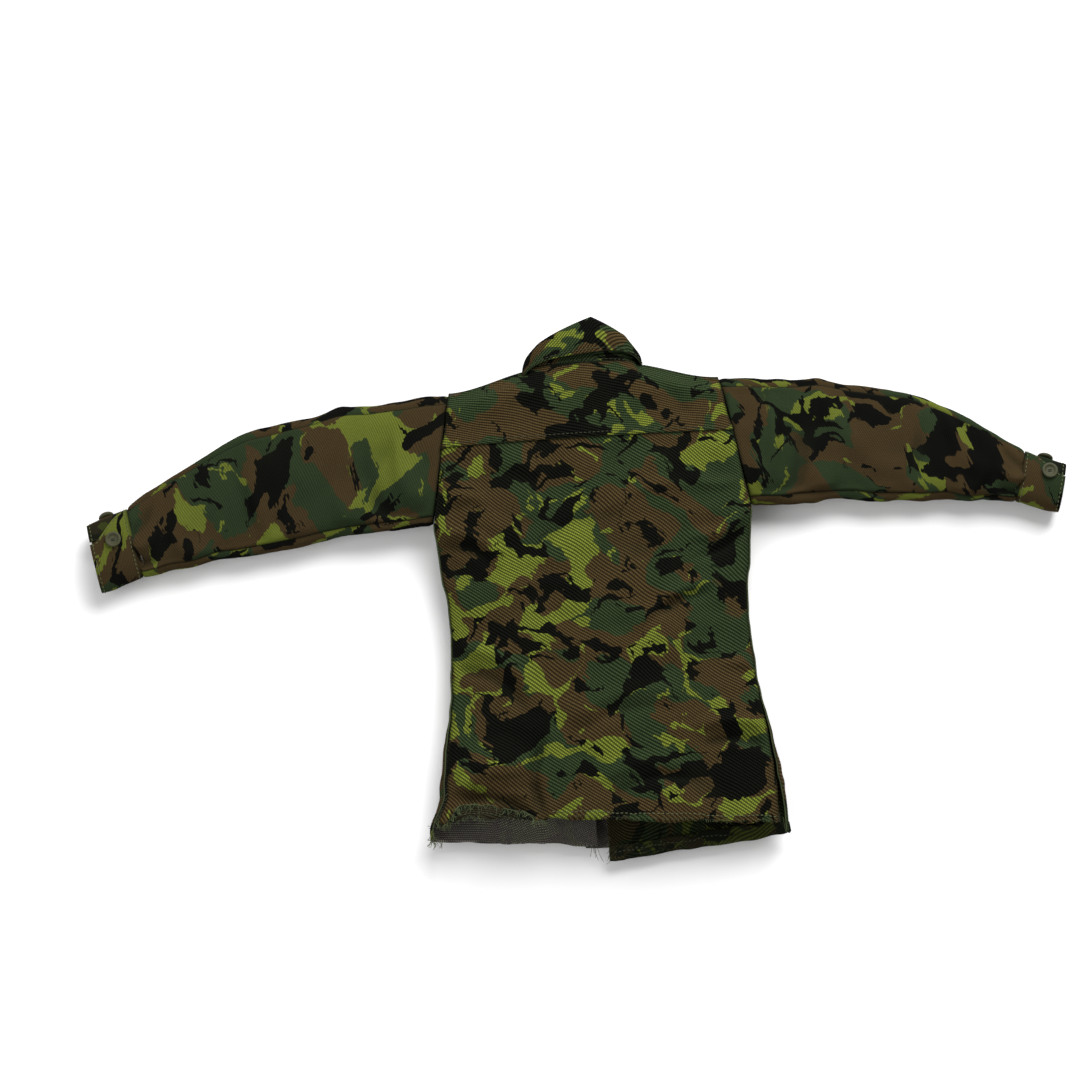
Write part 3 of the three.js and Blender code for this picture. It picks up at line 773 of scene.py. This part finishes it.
def frontPlace(side):
    def place(u, v):
        # across runs from the free edge over the flat of the front and round the side to the seam
        guess = mix(-side["edge"], body["hemHalf"], np.minimum(u * 1.15, 1))
        low = frontHem(side, guess)
        xTop = np.minimum(guess, body["shoulderHalf"])
        t, share = rowsWithHem(v, side["strip"] + 0.4, 0.06)
        y = mix(low, np.where(guess > body["foldLine"], body["shoulder"], frontTop(xTop)) - 0.3, share)
        clamped = np.maximum(y, 0)
        angle = wallAngle(clamped)
        radius = body["sideRadius"]
        keeps = 1 - smooth(clamped, body["underarm"] - 0.5, body["underarm"] + 1.5)
        reach = np.maximum(seamLevel(clamped) - 0.5 - body["frontLevel"] - radius * (1 - np.cos(angle)), 0) * keeps
        reach = reach * smooth(clamped, body["waist"], body["underarm"] - 10)
        flat = halfWidth(clamped) - radius * np.sin(np.minimum(angle, math.pi / 2)) + side["edge"]
        s = u * (flat + radius * angle + reach)
        turned = np.minimum(np.maximum(s - flat, 0) / radius, angle)
        past = np.maximum(s - flat - radius * angle, 0)
        x = np.where(s <= flat, s - side["edge"], flat - side["edge"] + radius * np.sin(turned))
        x = np.where((x > halfWidth(clamped) - 0.6) & (turned <= 0), halfWidth(clamped) - 0.6, x)
        z = body["frontLevel"] + frontRise(np.minimum(x, body["shoulderHalf"]), y)
        z = z + np.where(s <= flat, 0, radius * (1 - np.cos(turned)) + past * np.sin(angle))
        flare = (3.4 if side["sign"] < 0 else 0.8) * smooth(-y, -9, 0) * smooth(u, 0.8, 1)
        if side["sign"] > 0:
            flare = flare + cornerShift(x, y)
        drop, rise = turnedHem(t, side["curl"] + 0 * t)
        y = y - drop - 0.4 * softNoise(x, t, 2, 47) * smooth(t, 1, 4)
        x, z = x + rise * np.sin(turned), z - rise * np.cos(turned)
        return np.stack([side["sign"] * (x + flare), y + hemLine, z], axis=-1)
    return place


def frontRelief(side):
    def relief(points, cut, u, v):
        x, y = points[..., 0], points[..., 1] - hemLine
        lift = 0.25 * softNoise(x * 0.6, y, 7, 60 + side["seed"]) + 0.12 * softNoise(x, y, 3, 70 + side["seed"])
        ruck = 0.5 * softNoise(x, y * 0.5, 3.5, 80 + side["seed"]) * smooth(-y, -10, 2)
        keep = smooth(v, 0.0, 0.02) * smooth(1 - u, 0.0, 0.03) * smooth(1 - v, 0.0, 0.05)
        return (lift - 0.2 + ruck * smooth(u, 0.75, 0.95)) * keep
    return relief


def cornerShift(x, y):
    # the free corner of the right front lies a little further in
    return 2.6 * (1 - smooth(x, -4.3, 22)) * (1 - smooth(y, 0, 34))


frontPanels = {}
for label, side in frontSides.items():
    lay = frontPlace(side)
    grain = measuredGrain(-80 * side["sign"] + 15, 210, side["sign"])
    outward = -1 if side["sign"] > 0 else 1
    # painted shade: the right front's turned hem strip is darkened nearly to black, as if in shadow
    paintedShade = (lambda u, v: 1.0 * (v < 0.057)) if side["sign"] > 0 else None
    frontPanels[label] = makePanel(f"front_{label}_cloth", lay, grain, 96, 160, outward, frontRelief(side),
                                   [jungleTwill, side["inside"], rawEdge], sewn=(0, 1, 0, 1), paintedShade=paintedShade)
print("fronts made")

# sleeves

sleeveSides = {
    "left": {"sign": -1, "reach": 93.5, "droop": 6.0, "seed": 5, "button": (80, 1.45)},
    "right": {"sign": 1, "reach": 86.0, "droop": 0.0, "seed": 6, "button": (72, 1.62)},
}
upperDrops = [(0, 0), (0.23, 0.8), (0.48, 3.8), (0.7, 10.0), (0.85, 17.5), (1, 26.2)]
lowerDrops = [(0, 0), (0.25, -0.2), (0.5, 0.4), (0.75, 1.5), (1, 3.4)]
panelSeams = (35, 150)
cuff = {"length": 13.0, "slant": 4.0, "lapEnd": 28.0, "turn": 395.0, "growth": 1.25, "cutBack": 46.0}


def curveThrough(pairs, t):
    # a smooth curve through a few points, as a drawn line would run
    xs, ys = np.array([p[0] for p in pairs]), np.array([p[1] for p in pairs])
    slope = np.gradient(ys, xs)
    i = np.clip(np.searchsorted(xs, t, side="right") - 1, 0, len(xs) - 2)
    h = xs[i + 1] - xs[i]
    f = np.clip((t - xs[i]) / h, 0, 1)
    return ((2 * f ** 3 - 3 * f ** 2 + 1) * ys[i] + (f ** 3 - 2 * f ** 2 + f) * h * slope[i]
            + (-2 * f ** 3 + 3 * f ** 2) * ys[i + 1] + (f ** 3 - f ** 2) * h * slope[i + 1])


def sleeveEdges(side, t):
    on, beyond = np.clip(t, 0, 1), np.maximum(t - 1, 0)
    slant = body["chestHalf"] - body["shoulderHalf"]
    run = beyond * (cuff["length"] - 1)
    uneven = smooth(on, 0.03, 0.15) * (1 - smooth(on, 0.85, 1))
    above = 0.7 * softNoise(on * 90, side["seed"], 9, 33) * uneven
    below = 0.9 * softNoise(on * 90, side["seed"] + 5, 8, 34) * uneven
    upper = np.stack([body["shoulderHalf"] + 0.1 + on * side["reach"] + run,
                      body["shoulder"] + above - curveThrough(upperDrops, on) - beyond * cuff["slant"]], axis=-1)
    lower = np.stack([body["chestHalf"] + 0.1 + on * (side["reach"] - slant - 4) + run,
                      body["underarm"] + below - curveThrough(lowerDrops, on) - side["droop"] * on
                      - beyond * cuff["slant"]], axis=-1)
    return upper, lower


def sleeveLevels(t):
    on = np.clip(t, 0, 1)
    top = np.where(on < 0.5, mix(11.7, 10.2, smooth(on, 0, 0.5)), mix(10.2, 9.6, smooth(on, 0.5, 1)))
    bottom = mix(3.1, 0.6, smooth(on, 0, 0.35))
    return top, bottom


def tubePoint(side, t, degrees, inset):
    upper, lower = sleeveEdges(side, t)
    top, bottom = sleeveLevels(t)
    middle, reach = (upper + lower) / 2, (upper - lower) / 2
    length = np.linalg.norm(reach, axis=-1, keepdims=True)
    reach = reach * (1 - np.asarray(inset)[..., None] / length)
    height = (top - bottom) / 2 - inset
    c, s = np.cos(np.radians(degrees)), np.sin(np.radians(degrees))
    across = middle + reach * c[..., None]
    level = (top + bottom) / 2 + height * np.sign(s) * np.abs(s) ** 0.8
    return np.stack([side["sign"] * across[..., 0], across[..., 1] + hemLine, level], axis=-1)


# folds on the sleeves: along in shares of the length, round in degrees, then width and height
sleeveCreases = [
    (0.02, 130, 0.16, 60, 0.020, 0.8), (0.05, 150, 0.24, 95, 0.018, -0.7), (0.10, 150, 0.34, 110, 0.022, 0.7),
    (0.42, 150, 0.60, 95, 0.020, 0.6), (0.48, 140, 0.64, 70, 0.018, -0.5), (0.30, 45, 0.44, 95, 0.020, 0.45),
    (0.70, 40, 0.84, 100, 0.020, 0.55), (0.72, 145, 0.86, 90, 0.018, 0.5), (0.88, 50, 0.99, 75, 0.012, -0.5),
    (0.87, 95, 0.99, 90, 0.012, 0.6), (0.88, 130, 0.99, 115, 0.012, -0.5), (0.12, 60, 0.30, 75, 0.02, -0.35),
]


def sleeveRelief(side, startAngle, endAngle):
    def relief(points, cut, u, v):
        degrees = mix(startAngle, endAngle, u)
        lift = 2.0 * sum(crease(v, degrees / 900.0, (a, b / 900.0, c, d / 900.0, w, h))
                   for a, b, c, d, w, h in sleeveCreases)
        s, r = cut[..., 0], cut[..., 1]
        lift = lift + 0.45 * softNoise(s * 0.8 + r * 0.5, r - s * 0.3, 8, 90 + side["seed"])
        lift = lift + 0.22 * softNoise(s, r, 3.6, 100 + side["seed"])
        edge = np.minimum(np.minimum(u, 1 - u) * 36, np.minimum(v, 1 - v) * 90)
        return (lift - 0.15) * smooth(edge, 0, 4) - 0.45 * np.exp(-(edge / 0.8) ** 2)
    return relief


def sleeveGrain(side, startAngle, endAngle, shift):
    def cut(points, u, v):
        along = v * side["reach"]
        half = mix(18.6, 9.5, v ** 1.5)
        angle = mix(startAngle, endAngle, u) - (startAngle + endAngle) / 2
        girth = np.radians(angle) * half * 0.80
        return np.stack([side["sign"] * along + shift, -girth + 40 * side["sign"]], axis=-1)
    return cut


sleevePanels = {}
for label, side in sleeveSides.items():
    for part, first, last, shift, across in (("top", panelSeams[0], panelSeams[1], 300, 90),
                                             ("under", panelSeams[1], 360 + panelSeams[0], 420, 70)):
        overlap = 1.5 if part == "top" else -0.5

        def lay(u, v, side=side, first=first, last=last, overlap=overlap, part=part):
            angle = mix(first - overlap, last + overlap, u)
            t = v * 1.05  # the end is sewn in under the cuff
            return tubePoint(side, t, angle, (0.0 if part == "top" else 0.25) + 0.75 * smooth(t, 0.985, 1.025))
        sleevePanels[label, part] = makePanel(
            f"sleeve_{label}_{part}_cloth", lay, sleeveGrain(side, first, last, shift), across, 150, side["sign"],
            sleeveRelief(side, first, last), [jungleSleeve, jungleReverse, rawEdge])
print("sleeves made")

# cuffs


def cuffLay(side):
    def lay(u, v):
        turned = u * cuff["turn"]
        inset = cuff["growth"] * turned / 360 - cuff["growth"]
        # the outer lap's corner is cut back towards the end of the cuff
        start = cuff["lapEnd"] + cuff["cutBack"] * smooth(v, -0.1, 1.0) * np.maximum(1 - u / 0.45, 0)
        degrees = start + turned
        belly = 0.35 * np.sin(v * math.pi)
        return tubePoint(side, mix(1.02, 2.0, v), degrees, inset + cuff["growth"] + 0.1 - belly)
    return lay


def cuffRelief(side):
    def relief(points, cut, u, v):
        s, r = cut[..., 0], cut[..., 1]
        return 0.18 * softNoise(s, r, 4.0, 120 + side["seed"]) * smooth(np.minimum(v, 1 - v), 0, 0.15)
    return relief


cuffPanels = {}
for label, side in sleeveSides.items():
    # painted shade: the cuff's under layer, past the edge of the lap, is darkened
    cuffPanels[label] = makePanel(
        f"cuff_{label}_cloth", cuffLay(side), measuredGrain(522, 46 * side["sign"], side["sign"]), 220, 26,
        side["sign"], cuffRelief(side), [jungleCuff, jungleFacingShaded, rawEdge], sewn=(0, 0, 1, 0), thickness=0.62,
        paintedShade=lambda u, v: smooth(u, 0.885, 0.90))
print("cuffs made")

# collar

collar = {"neckTop": 13.4, "neckUnder": 3.6, "stand": 6.2, "peak": 13.4, "peakX": 3.4, "fall": 3.0, "throat": 14}


def neckPoint(degrees, y, outset):
    c, s = np.cos(np.radians(degrees)), np.sin(np.radians(degrees))
    height = (collar["neckTop"] - collar["neckUnder"]) / 2 + outset
    level = (collar["neckTop"] + collar["neckUnder"]) / 2 + height * np.sign(s) * np.abs(s) ** 0.8
    return np.stack([(body["neckHalf"] - 1 + outset) * c, y + hemLine, level], axis=-1)


def foldHeight(degrees):
    back = np.maximum(np.sin(np.radians(degrees)), 0)
    x = (body["neckHalf"] - 1) * np.cos(np.radians(degrees))
    reach = body["neckHalf"] + np.where(x > collar["peakX"], -collar["peakX"], collar["peakX"])
    tent = np.clip(1 - np.abs(x - collar["peakX"]) / reach, 0, 1) ** 0.65
    return body["neck"] + mix(collar["stand"] * 0.5, collar["peak"], np.minimum(back * 1.6, 1) * tent)


def standLay(u, v):
    degrees = mix(collar["throat"] - 90, 270 - collar["throat"], u)
    throat = smooth(-np.sin(np.radians(degrees)), 0.1, 0.9)
    neckline = frontTop(np.abs(15.5 * np.cos(np.radians(degrees))))
    base = mix(body["neck"] - 0.4, neckline - 0.5, throat)
    y = mix(base, foldHeight(degrees) - 0.8, v)
    return neckPoint(degrees, y, -0.35 + 0 * u)


def leafLay(u, v):
    degrees = mix(collar["throat"] - 90, 270 - collar["throat"], u)
    back = np.maximum(np.sin(np.radians(degrees)), 0)
    sideways = np.cos(np.radians(degrees))
    edge = body["neck"] + mix(-1.5 + 0.9 * sideways, collar["fall"] - 0.9 + 1.5 * sideways, smooth(back, 0, 1))
    y = mix(edge, foldHeight(degrees), v)
    # the leaf stands off the stand at its lower edge and meets it at the fold
    puff = 1.5 * (1 - v) ** 0.6 + 0.5 * np.sin(v * math.pi)
    return neckPoint(degrees, y, 0.25 + puff - 0.5 * smooth(v, 0.85, 1.0))


def collarRelief(seed, size):
    def relief(points, cut, u, v):
        x, y = points[..., 0], points[..., 1]
        return size * softNoise(x, y, 4.5, seed) * smooth(np.minimum(v, 1 - v), 0, 0.2)
    return relief


standPanel = makePanel("collar_stand_cloth", standLay, measuredGrain(600, 0), 160, 22, -1, collarRelief(130, 0.15),
                       [jungleTwill, jungleReverse, rawEdge], sewn=(0, 0, 1, 0))
leafPanel = makePanel("collar_leaf_cloth", leafLay, measuredGrain(650, 60), 180, 36, -1, collarRelief(131, 0.22),
                      [jungleTwill, jungleFacingShaded, rawEdge], sewn=(0, 0, 0, 0), thickness=0.6)
print("collar made")

# buttons

# the profile is radius and height, from the middle underneath round the rim to the middle of the dish
buttonShape = {
    "profile": [(0.0, 0.0), (1.55, 0.0), (2.0, 0.12), (2.2, 0.35), (2.25, 0.55), (2.22, 0.78), (2.08, 0.92),
                (1.86, 0.95), (1.62, 0.90), (1.42, 0.72), (1.28, 0.50), (1.1, 0.44), (0.6, 0.42), (0.0, 0.42)],
    "segments": 40, "threadReach": 0.52, "threadApart": 0.22,
}


def makeButton(name, centre, normal, scale=1.0, flatness=1.0):
    # a turned disc with a raised rim and a dished middle, with two threads across the dish
    b = buttonShape
    profile, segments = b["profile"], b["segments"]
    points = [(0, 0, profile[0][1])]
    for r, h in profile[1:-1]:
        points += [(r * math.cos(a), r * math.sin(a), h) for a in np.linspace(0, 2 * math.pi, segments, endpoint=False)]
    points.append((0, 0, profile[-1][1]))
    faces = []
    rings = len(profile) - 2
    for k in range(segments):
        n = (k + 1) % segments
        faces.append((0, 1 + n, 1 + k))
        for r in range(rings - 1):
            a, c = 1 + r * segments, 1 + (r + 1) * segments
            faces.append((a + k, a + n, c + n, c + k))
        last = 1 + (rings - 1) * segments
        faces.append((last + k, last + n, len(points) - 1))
    turn = Vector((0, 0, 1)).rotation_difference(Vector(normal))
    placed = [np.array(turn @ Vector((p[0] * scale, p[1] * scale, p[2] * flatness))) + centre for p in points]
    piece = meshFrom(name, placed, faces, [buttonPlastic])
    lie = turn @ Vector((1, 0, 0)), turn @ Vector((0, 1, 0))
    threads = []
    for i in (-1, 1):
        path = []
        for t in np.linspace(-1, 1, 9):
            level = Vector(normal) * flatness * (0.48 + 0.16 * (1 - t * t))
            flat = lie[0] * (t * b["threadReach"]) + lie[1] * (i * b["threadApart"]) + level
            path.append(np.array(flat) + centre)
        threads.append(path)
    sewing = stitches(name + "_thread", threads, darkThread, 0.16, 0.24, 0.26)
    return [piece, sewing]


sewnOn = {key: [] for key in frame["bodies"]}
for label, side in sleeveSides.items():
    for part, angle, share, inset in (("button", *side["button"], -0.05), ("spare_button", -10, 1.52, 1.2)):
        node = f"cuff_{label}_{part}"

        def cuffPoint(t, degrees, depth, side=side):
            return tubePoint(side, np.array(float(t)), np.array(float(degrees)), np.array(float(depth)))
        at = [cuffPoint(share, angle + d, inset) for d in (-4, 0, 4)]
        normal = np.cross(at[2] - at[0], cuffPoint(share + 0.18, angle, inset) - at[1])
        if np.dot(normal, at[1] - cuffPoint(share, angle, inset + 1.0)) < 0:
            normal = -normal
        normal = normal / np.linalg.norm(normal)
        made = makeButton(f"cuff_{label}_{part}_face", at[1] + normal * 0.2, normal)
        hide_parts(node)
        sewnOn[f"sleeve_{label}"] += made

# fly, pockets and flaps, on the side that faces down


fly = {"edge": 4.85, "width": 13.0, "top": 116.5, "buttons": 5, "first": 14.0, "last": 109.0}


def flyLay(u, v):
    x = mix(fly["edge"] - fly["width"], fly["edge"], u)
    y = mix(frontHem(frontSides["left"], 0 * x), fly["top"], v)
    lift = 2.35 * (1 - smooth(x, 4.5 - fly["width"], -4.5))
    return np.stack([x, y + hemLine, lift + 0.15], axis=-1)


def smallRelief(seed, size):
    def relief(points, cut, u, v):
        edge = smooth(np.minimum(np.minimum(u, 1 - u), np.minimum(v, 1 - v)), 0, 0.12)
        return size * softNoise(points[..., 0], points[..., 1], 4.5, seed) * edge - 0.1 * (1 - edge)
    return relief


flyPanel = makePanel("fly_cover_cloth", flyLay, measuredGrain(700, 0), 26, 150, -1, smallRelief(140, 0.1),
                     sewn=(1, 0, 0, 0))
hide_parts("fly_cover")
for i in range(fly["buttons"]):
    y = mix(fly["first"], fly["last"], i / (fly["buttons"] - 1))
    centre, normal = np.array([0, y + hemLine, 2.22]), (0, 0, -1.0)
    made = makeButton(f"fly_button_{i + 1}_face", centre, normal, 0.99)
    shank = [[centre + np.array([0.5 * math.cos(a), 0.5 * math.sin(a), z]) for z in np.linspace(-0.6, 1.5, 9)]
             for a in np.linspace(0, 2 * math.pi, 5)[:-1]]
    made.append(stitches(f"fly_button_{i + 1}_shank", shank, darkThread, 0.22, 0.32, 0.3))
    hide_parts(f"fly_button_{i + 1}")
    sewnOn["front_right"] += made

pockets = {
    "chest": {"width": 16.0, "depth": 19.0, "top": 101.0, "slant": 14.0},
    "lower": {"width": 19.0, "depth": 27.0, "top": 43.0, "slant": 0.0},
}
pocketFit = {"outer": 29.0, "level": 2.35, "corner": 2.0, "flapDepth": 8.0, "overhang": 0.6, "point": 1.0, "rise": 1.5}


def pocketSpot(pocket, side):
    # the pocket's own coordinates, x across and y up from its top edge, put on the front
    turned = math.radians(pocket["slant"])
    centre = side["sign"] * (pocketFit["outer"] - pocket["width"] / 2 - math.sin(turned) * 4)
    turned *= side["sign"]

    def spot(x, y, z):
        return np.stack([centre + x * math.cos(turned) - y * math.sin(turned),
                         pocket["top"] + x * math.sin(turned) + y * math.cos(turned) + hemLine, z], axis=-1)
    return spot


def bagLay(pocket, spot):
    def lay(u, v):
        y = mix(-pocket["depth"], 0, v)
        nip = pocketFit["corner"] * np.maximum(1 - (y + pocket["depth"]) / pocketFit["corner"], 0)
        x = mix(-1, 1, u) * (pocket["width"] / 2 - nip)
        return spot(x, y, pocketFit["level"] + 0.2 + 0 * x)
    return lay


def flapLay(pocket, spot):
    def lay(u, v):
        x = mix(-1, 1, u) * (pocket["width"] / 2 + pocketFit["overhang"])
        tip = mix(pocketFit["rise"], -pocketFit["point"], 1 - np.abs(mix(-1, 1, u))) - pocketFit["flapDepth"]
        y = mix(tip, 0, v) + pocketFit["overhang"]
        return spot(x, y, 0.15 + 0 * x)
    return lay


flapPanels, bagPanels = {}, {}
for number, (label, side) in enumerate(frontSides.items()):
    for kind, pocket in pockets.items():
        spot = pocketSpot(pocket, side)
        shift = 760 + 60 * number + (30 if kind == "chest" else 0)
        bag = makePanel(f"{kind}_pocket_{label}_cloth", bagLay(pocket, spot), measuredGrain(shift, 0), 30, 40, -1,
                        smallRelief(150 + number, 0.15))
        flap = makePanel(f"{kind}_flap_{label}_cloth", flapLay(pocket, spot), measuredGrain(shift, 60), 34, 18, -1,
                         smallRelief(154 + number, 0.08), sewn=(0, 0, 0, 1), thickness=0.6)
        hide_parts(f"{kind}_pocket_{label}")
        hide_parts(f"{kind}_flap_{label}")
        bagPanels[label, kind], flapPanels[label, kind] = bag, flap
        at = spot(np.array(0.0), np.array(pocketFit["overhang"] - pocketFit["flapDepth"] + 3), np.array(2.2))
        made = makeButton(f"{kind}_pocket_button_{label}_face", at, (0, 0, -1), 1.0, 0.78)
        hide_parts(f"{kind}_pocket_button_{label}")
        sewnOn[f"front_{label}"] += made
        bagSew = lines(bag, (0.06, 1, 0.06, 0.10), (0.06, 0.10, 0.16, 0.035), (0.16, 0.035, 0.84, 0.035),
                       (0.84, 0.035, 0.94, 0.10), (0.94, 0.10, 0.94, 1))
        flapSew = lines(flap, (0.05, 1, 0.05, 0.12), (0.05, 0.12, 0.5, 0.12), (0.5, 0.12, 0.95, 0.12),
                        (0.95, 0.12, 0.95, 1), (0.02, 0.90, 0.98, 0.90))
        sewnOn[f"front_{label}"].append(stitches(f"{kind}_pocket_stitch_{label}", bagSew, thickness=0.2))
        sewnOn[f"{kind}_flap_{label}"].append(stitches(f"{kind}_flap_stitch_{label}", flapSew, thickness=0.2))
flySew = stitches("fly_stitch", lines(flyPanel, (0.06, 0.01, 0.06, 0.99), (0.94, 0.01, 0.94, 0.99)), thickness=0.2)
sewnOn["front_left"].append(flySew)
print("fly, pockets and buttons made")

# topstitching and loose threads

yokeSew = stitches("yoke_topstitch", lines(yokePanel, (0.01, 0.055, 0.99, 0.055)), darkThread, thickness=0.2)
hemSew = stitches("back_hem_stitch", lines(backPanel, (0.32, 0.1015, 0.985, 0.1015, 0.05, 120)), thickness=0.3)
flipSew = stitches("flipped_hem_stitch", lines(backPanel, (0.02, 0.045, 0.30, 0.06, -0.55, 90)), darkThread,
                   thickness=0.26)
hemEdges = lines(backPanel, (0.0, 0.0, 0.33, 0.0, -0.2, 120), (0.0, 0.02, 0.0, 0.16, -0.2, 20),
                 (0.0, 0.01, 0.10, 0.03, 0.1, 30), (0.02, 0.09, 0.2, 0.09, 0.1, 60))
hemFray = fray("back_hem_fray", hemEdges, 4, 0.32, 2.3, frayThread)
seamFray = fray("hem_edge_fray", lines(backPanel, (0.33, 0.093, 0.98, 0.093, 0.0, 60)), 11, 0.26, 1.1, frayThread)
leftPanel, rightPanel = frontPanels["left"], frontPanels["right"]
leftEdges = lines(leftPanel, (0.86, 0.0, 1.0, 0.0, -0.3, 40), (1.0, 0.0, 1.0, 0.07, -0.3, 30))
cornerFray = fray("left_corner_fray", leftEdges, 7, 0.3, 2.4, frayThread)
rightEdges = lines(rightPanel, (0.0, 0.02, 0.0, 0.11, -0.4, 40), (0.0, 0.002, 0.30, 0.002, -0.6, 60))
edgeFray = fray("right_edge_fray", rightEdges, 9, 0.35, 1.7, frayThread)
rightHemSew = stitches("right_hem_stitch", lines(rightPanel, (0.03, 0.018, 0.60, 0.018, 0.1, 90)), darkThread,
                       thickness=0.26)
hanging = []
for inward, bendX, drop in ((3.0, -0.5, 3.4), (1.9, 0.9, 4.6), (1.1, -0.2, 3.8), (0.5, 1.5, 5.0), (2.4, 0.3, 2.6)):
    # a thread that has worked loose and hangs over the edge towards the floor
    start = onPanel(leftPanel, inward / 85, 0.004, -0.35)
    hanging.append([start + np.array([bendX * t * t, 0.8 - drop * t, -min(start[2] - 0.5, 1.2) * t * t])
                    for t in np.linspace(0, 1, 14)])
hangingThreads = stitches("hanging_threads", hanging, darkThread, 0.2, 0.42, 0.13)
sewnOn["front_left"] += [hangingThreads]
sewnOn["front_right"] += [edgeFray, rightHemSew]
neckLines = [line(panel, 0.03, 0.10, 0.97, 0.10, count=120) for panel in (leafPanel, standPanel)]
neckSew = stitches("collar_topstitch", neckLines, darkThread, thickness=0.2)
sewnOn["body"] += [yokeSew, hemSew, flipSew, hemFray, seamFray, cornerFray]
sewnOn["collar"] += [neckSew]
for label in sleeveSides:
    panel = cuffPanels[label]
    rows = [line(panel, 0.005, 0.07, 0.995, 0.07, count=160), line(panel, 0.005, 0.93, 0.995, 0.93, count=160),
            line(panel, 0.012, 0.07, 0.012, 0.93, count=20)]
    sewnOn[f"sleeve_{label}"] += [stitches(f"cuff_{label}_topstitch", rows, thickness=0.26)]

# who moves with what

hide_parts("back_panel")
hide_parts("back_yoke")
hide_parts("collar_stand")
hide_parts("collar_leaf")
for label in frontSides:
    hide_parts(f"front_{label}_panel", f"front_{label}_side")
for (label, part), panel in sleevePanels.items():
    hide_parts(f"sleeve_{label}_{part}")
for label, panel in cuffPanels.items():
    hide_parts(f"cuff_{label}")

for panel in (backPanel, yokePanel):
    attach(panel["piece"], "body")
for label, side in sleeveSides.items():
    for part in ("top", "under"):
        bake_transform(sleevePanels[label, part]["piece"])
    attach(cuffPanels[label]["piece"], f"sleeve_{label}")
for label, side in frontSides.items():
    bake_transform(frontPanels[label]["piece"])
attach(flyPanel["piece"], "front_left")
for (label, kind), panel in flapPanels.items():
    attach(panel["piece"], f"{kind}_flap_{label}")
    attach(bagPanels[label, kind]["piece"], f"front_{label}")
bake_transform(standPanel["piece"])
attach(leafPanel["piece"], "collar")
for bodyName, pieces in sewnOn.items():
    for piece in pieces:
        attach(piece, bodyName)

print("bodies set")

# camera, floor and light

view = {"look": (-15.3, 15.4, 6.0), "distance": 900.0, "elevation": 78.0, "azimuth": -3.7, "span": 307.8}
cameraData = bpy.data.cameras.new("camera")
cameraData.sensor_width = 36
cameraData.lens = 36 * view["distance"] / view["span"]
cameraData.clip_start, cameraData.clip_end = 0.05, 10
camera = bpy.data.objects.new("camera", cameraData)
rise, turn = math.radians(view["elevation"]), math.radians(view["azimuth"])
away = Vector((math.sin(turn) * math.cos(rise), -math.cos(turn) * math.cos(rise), math.sin(rise)))
camera.location = Vector(view["look"]) * mm + away * view["distance"] * mm
camera.rotation_euler = away.to_track_quat("Z", "Y").to_euler()
bpy.context.scene.collection.objects.link(camera)
bpy.context.scene.camera = camera

floorMaterial, _, floorShader = startMaterial("paleFloor", 0.9, 0.1)
floorShader.inputs["Base Color"].default_value = (0.93, 0.93, 0.93, 1)
floorReach, floorLevel = 6000, -0.05
corners = [(x * floorReach, y * floorReach, floorLevel) for x, y in ((-1, -1), (1, -1), (1, 1), (-1, 1))]
floor = meshFrom("floor", corners, [(0, 1, 2, 3)], [floorMaterial])

lamps = [("keySoftbox", (0.30, 0.62, 0.62), 0.7, 13.5), ("fillSoftbox", (-0.60, -0.30, 0.55), 0.7, 3.0)]
for name, place, size, power in lamps:
    data = bpy.data.lights.new(name, "AREA")
    data.size, data.energy = size, power
    lamp = bpy.data.objects.new(name, data)
    lamp.location = place
    lamp.rotation_euler = Vector(place).to_track_quat("Z", "Y").to_euler()
    bpy.context.scene.collection.objects.link(lamp)
world = bpy.data.worlds.new("studio")
bpy.context.scene.world = world
world.use_nodes = True
world.node_tree.nodes["Background"].inputs[0].default_value = (1, 1, 1, 1)
world.node_tree.nodes["Background"].inputs[1].default_value = 0.36
bpy.context.scene.view_settings.view_transform = "Standard"
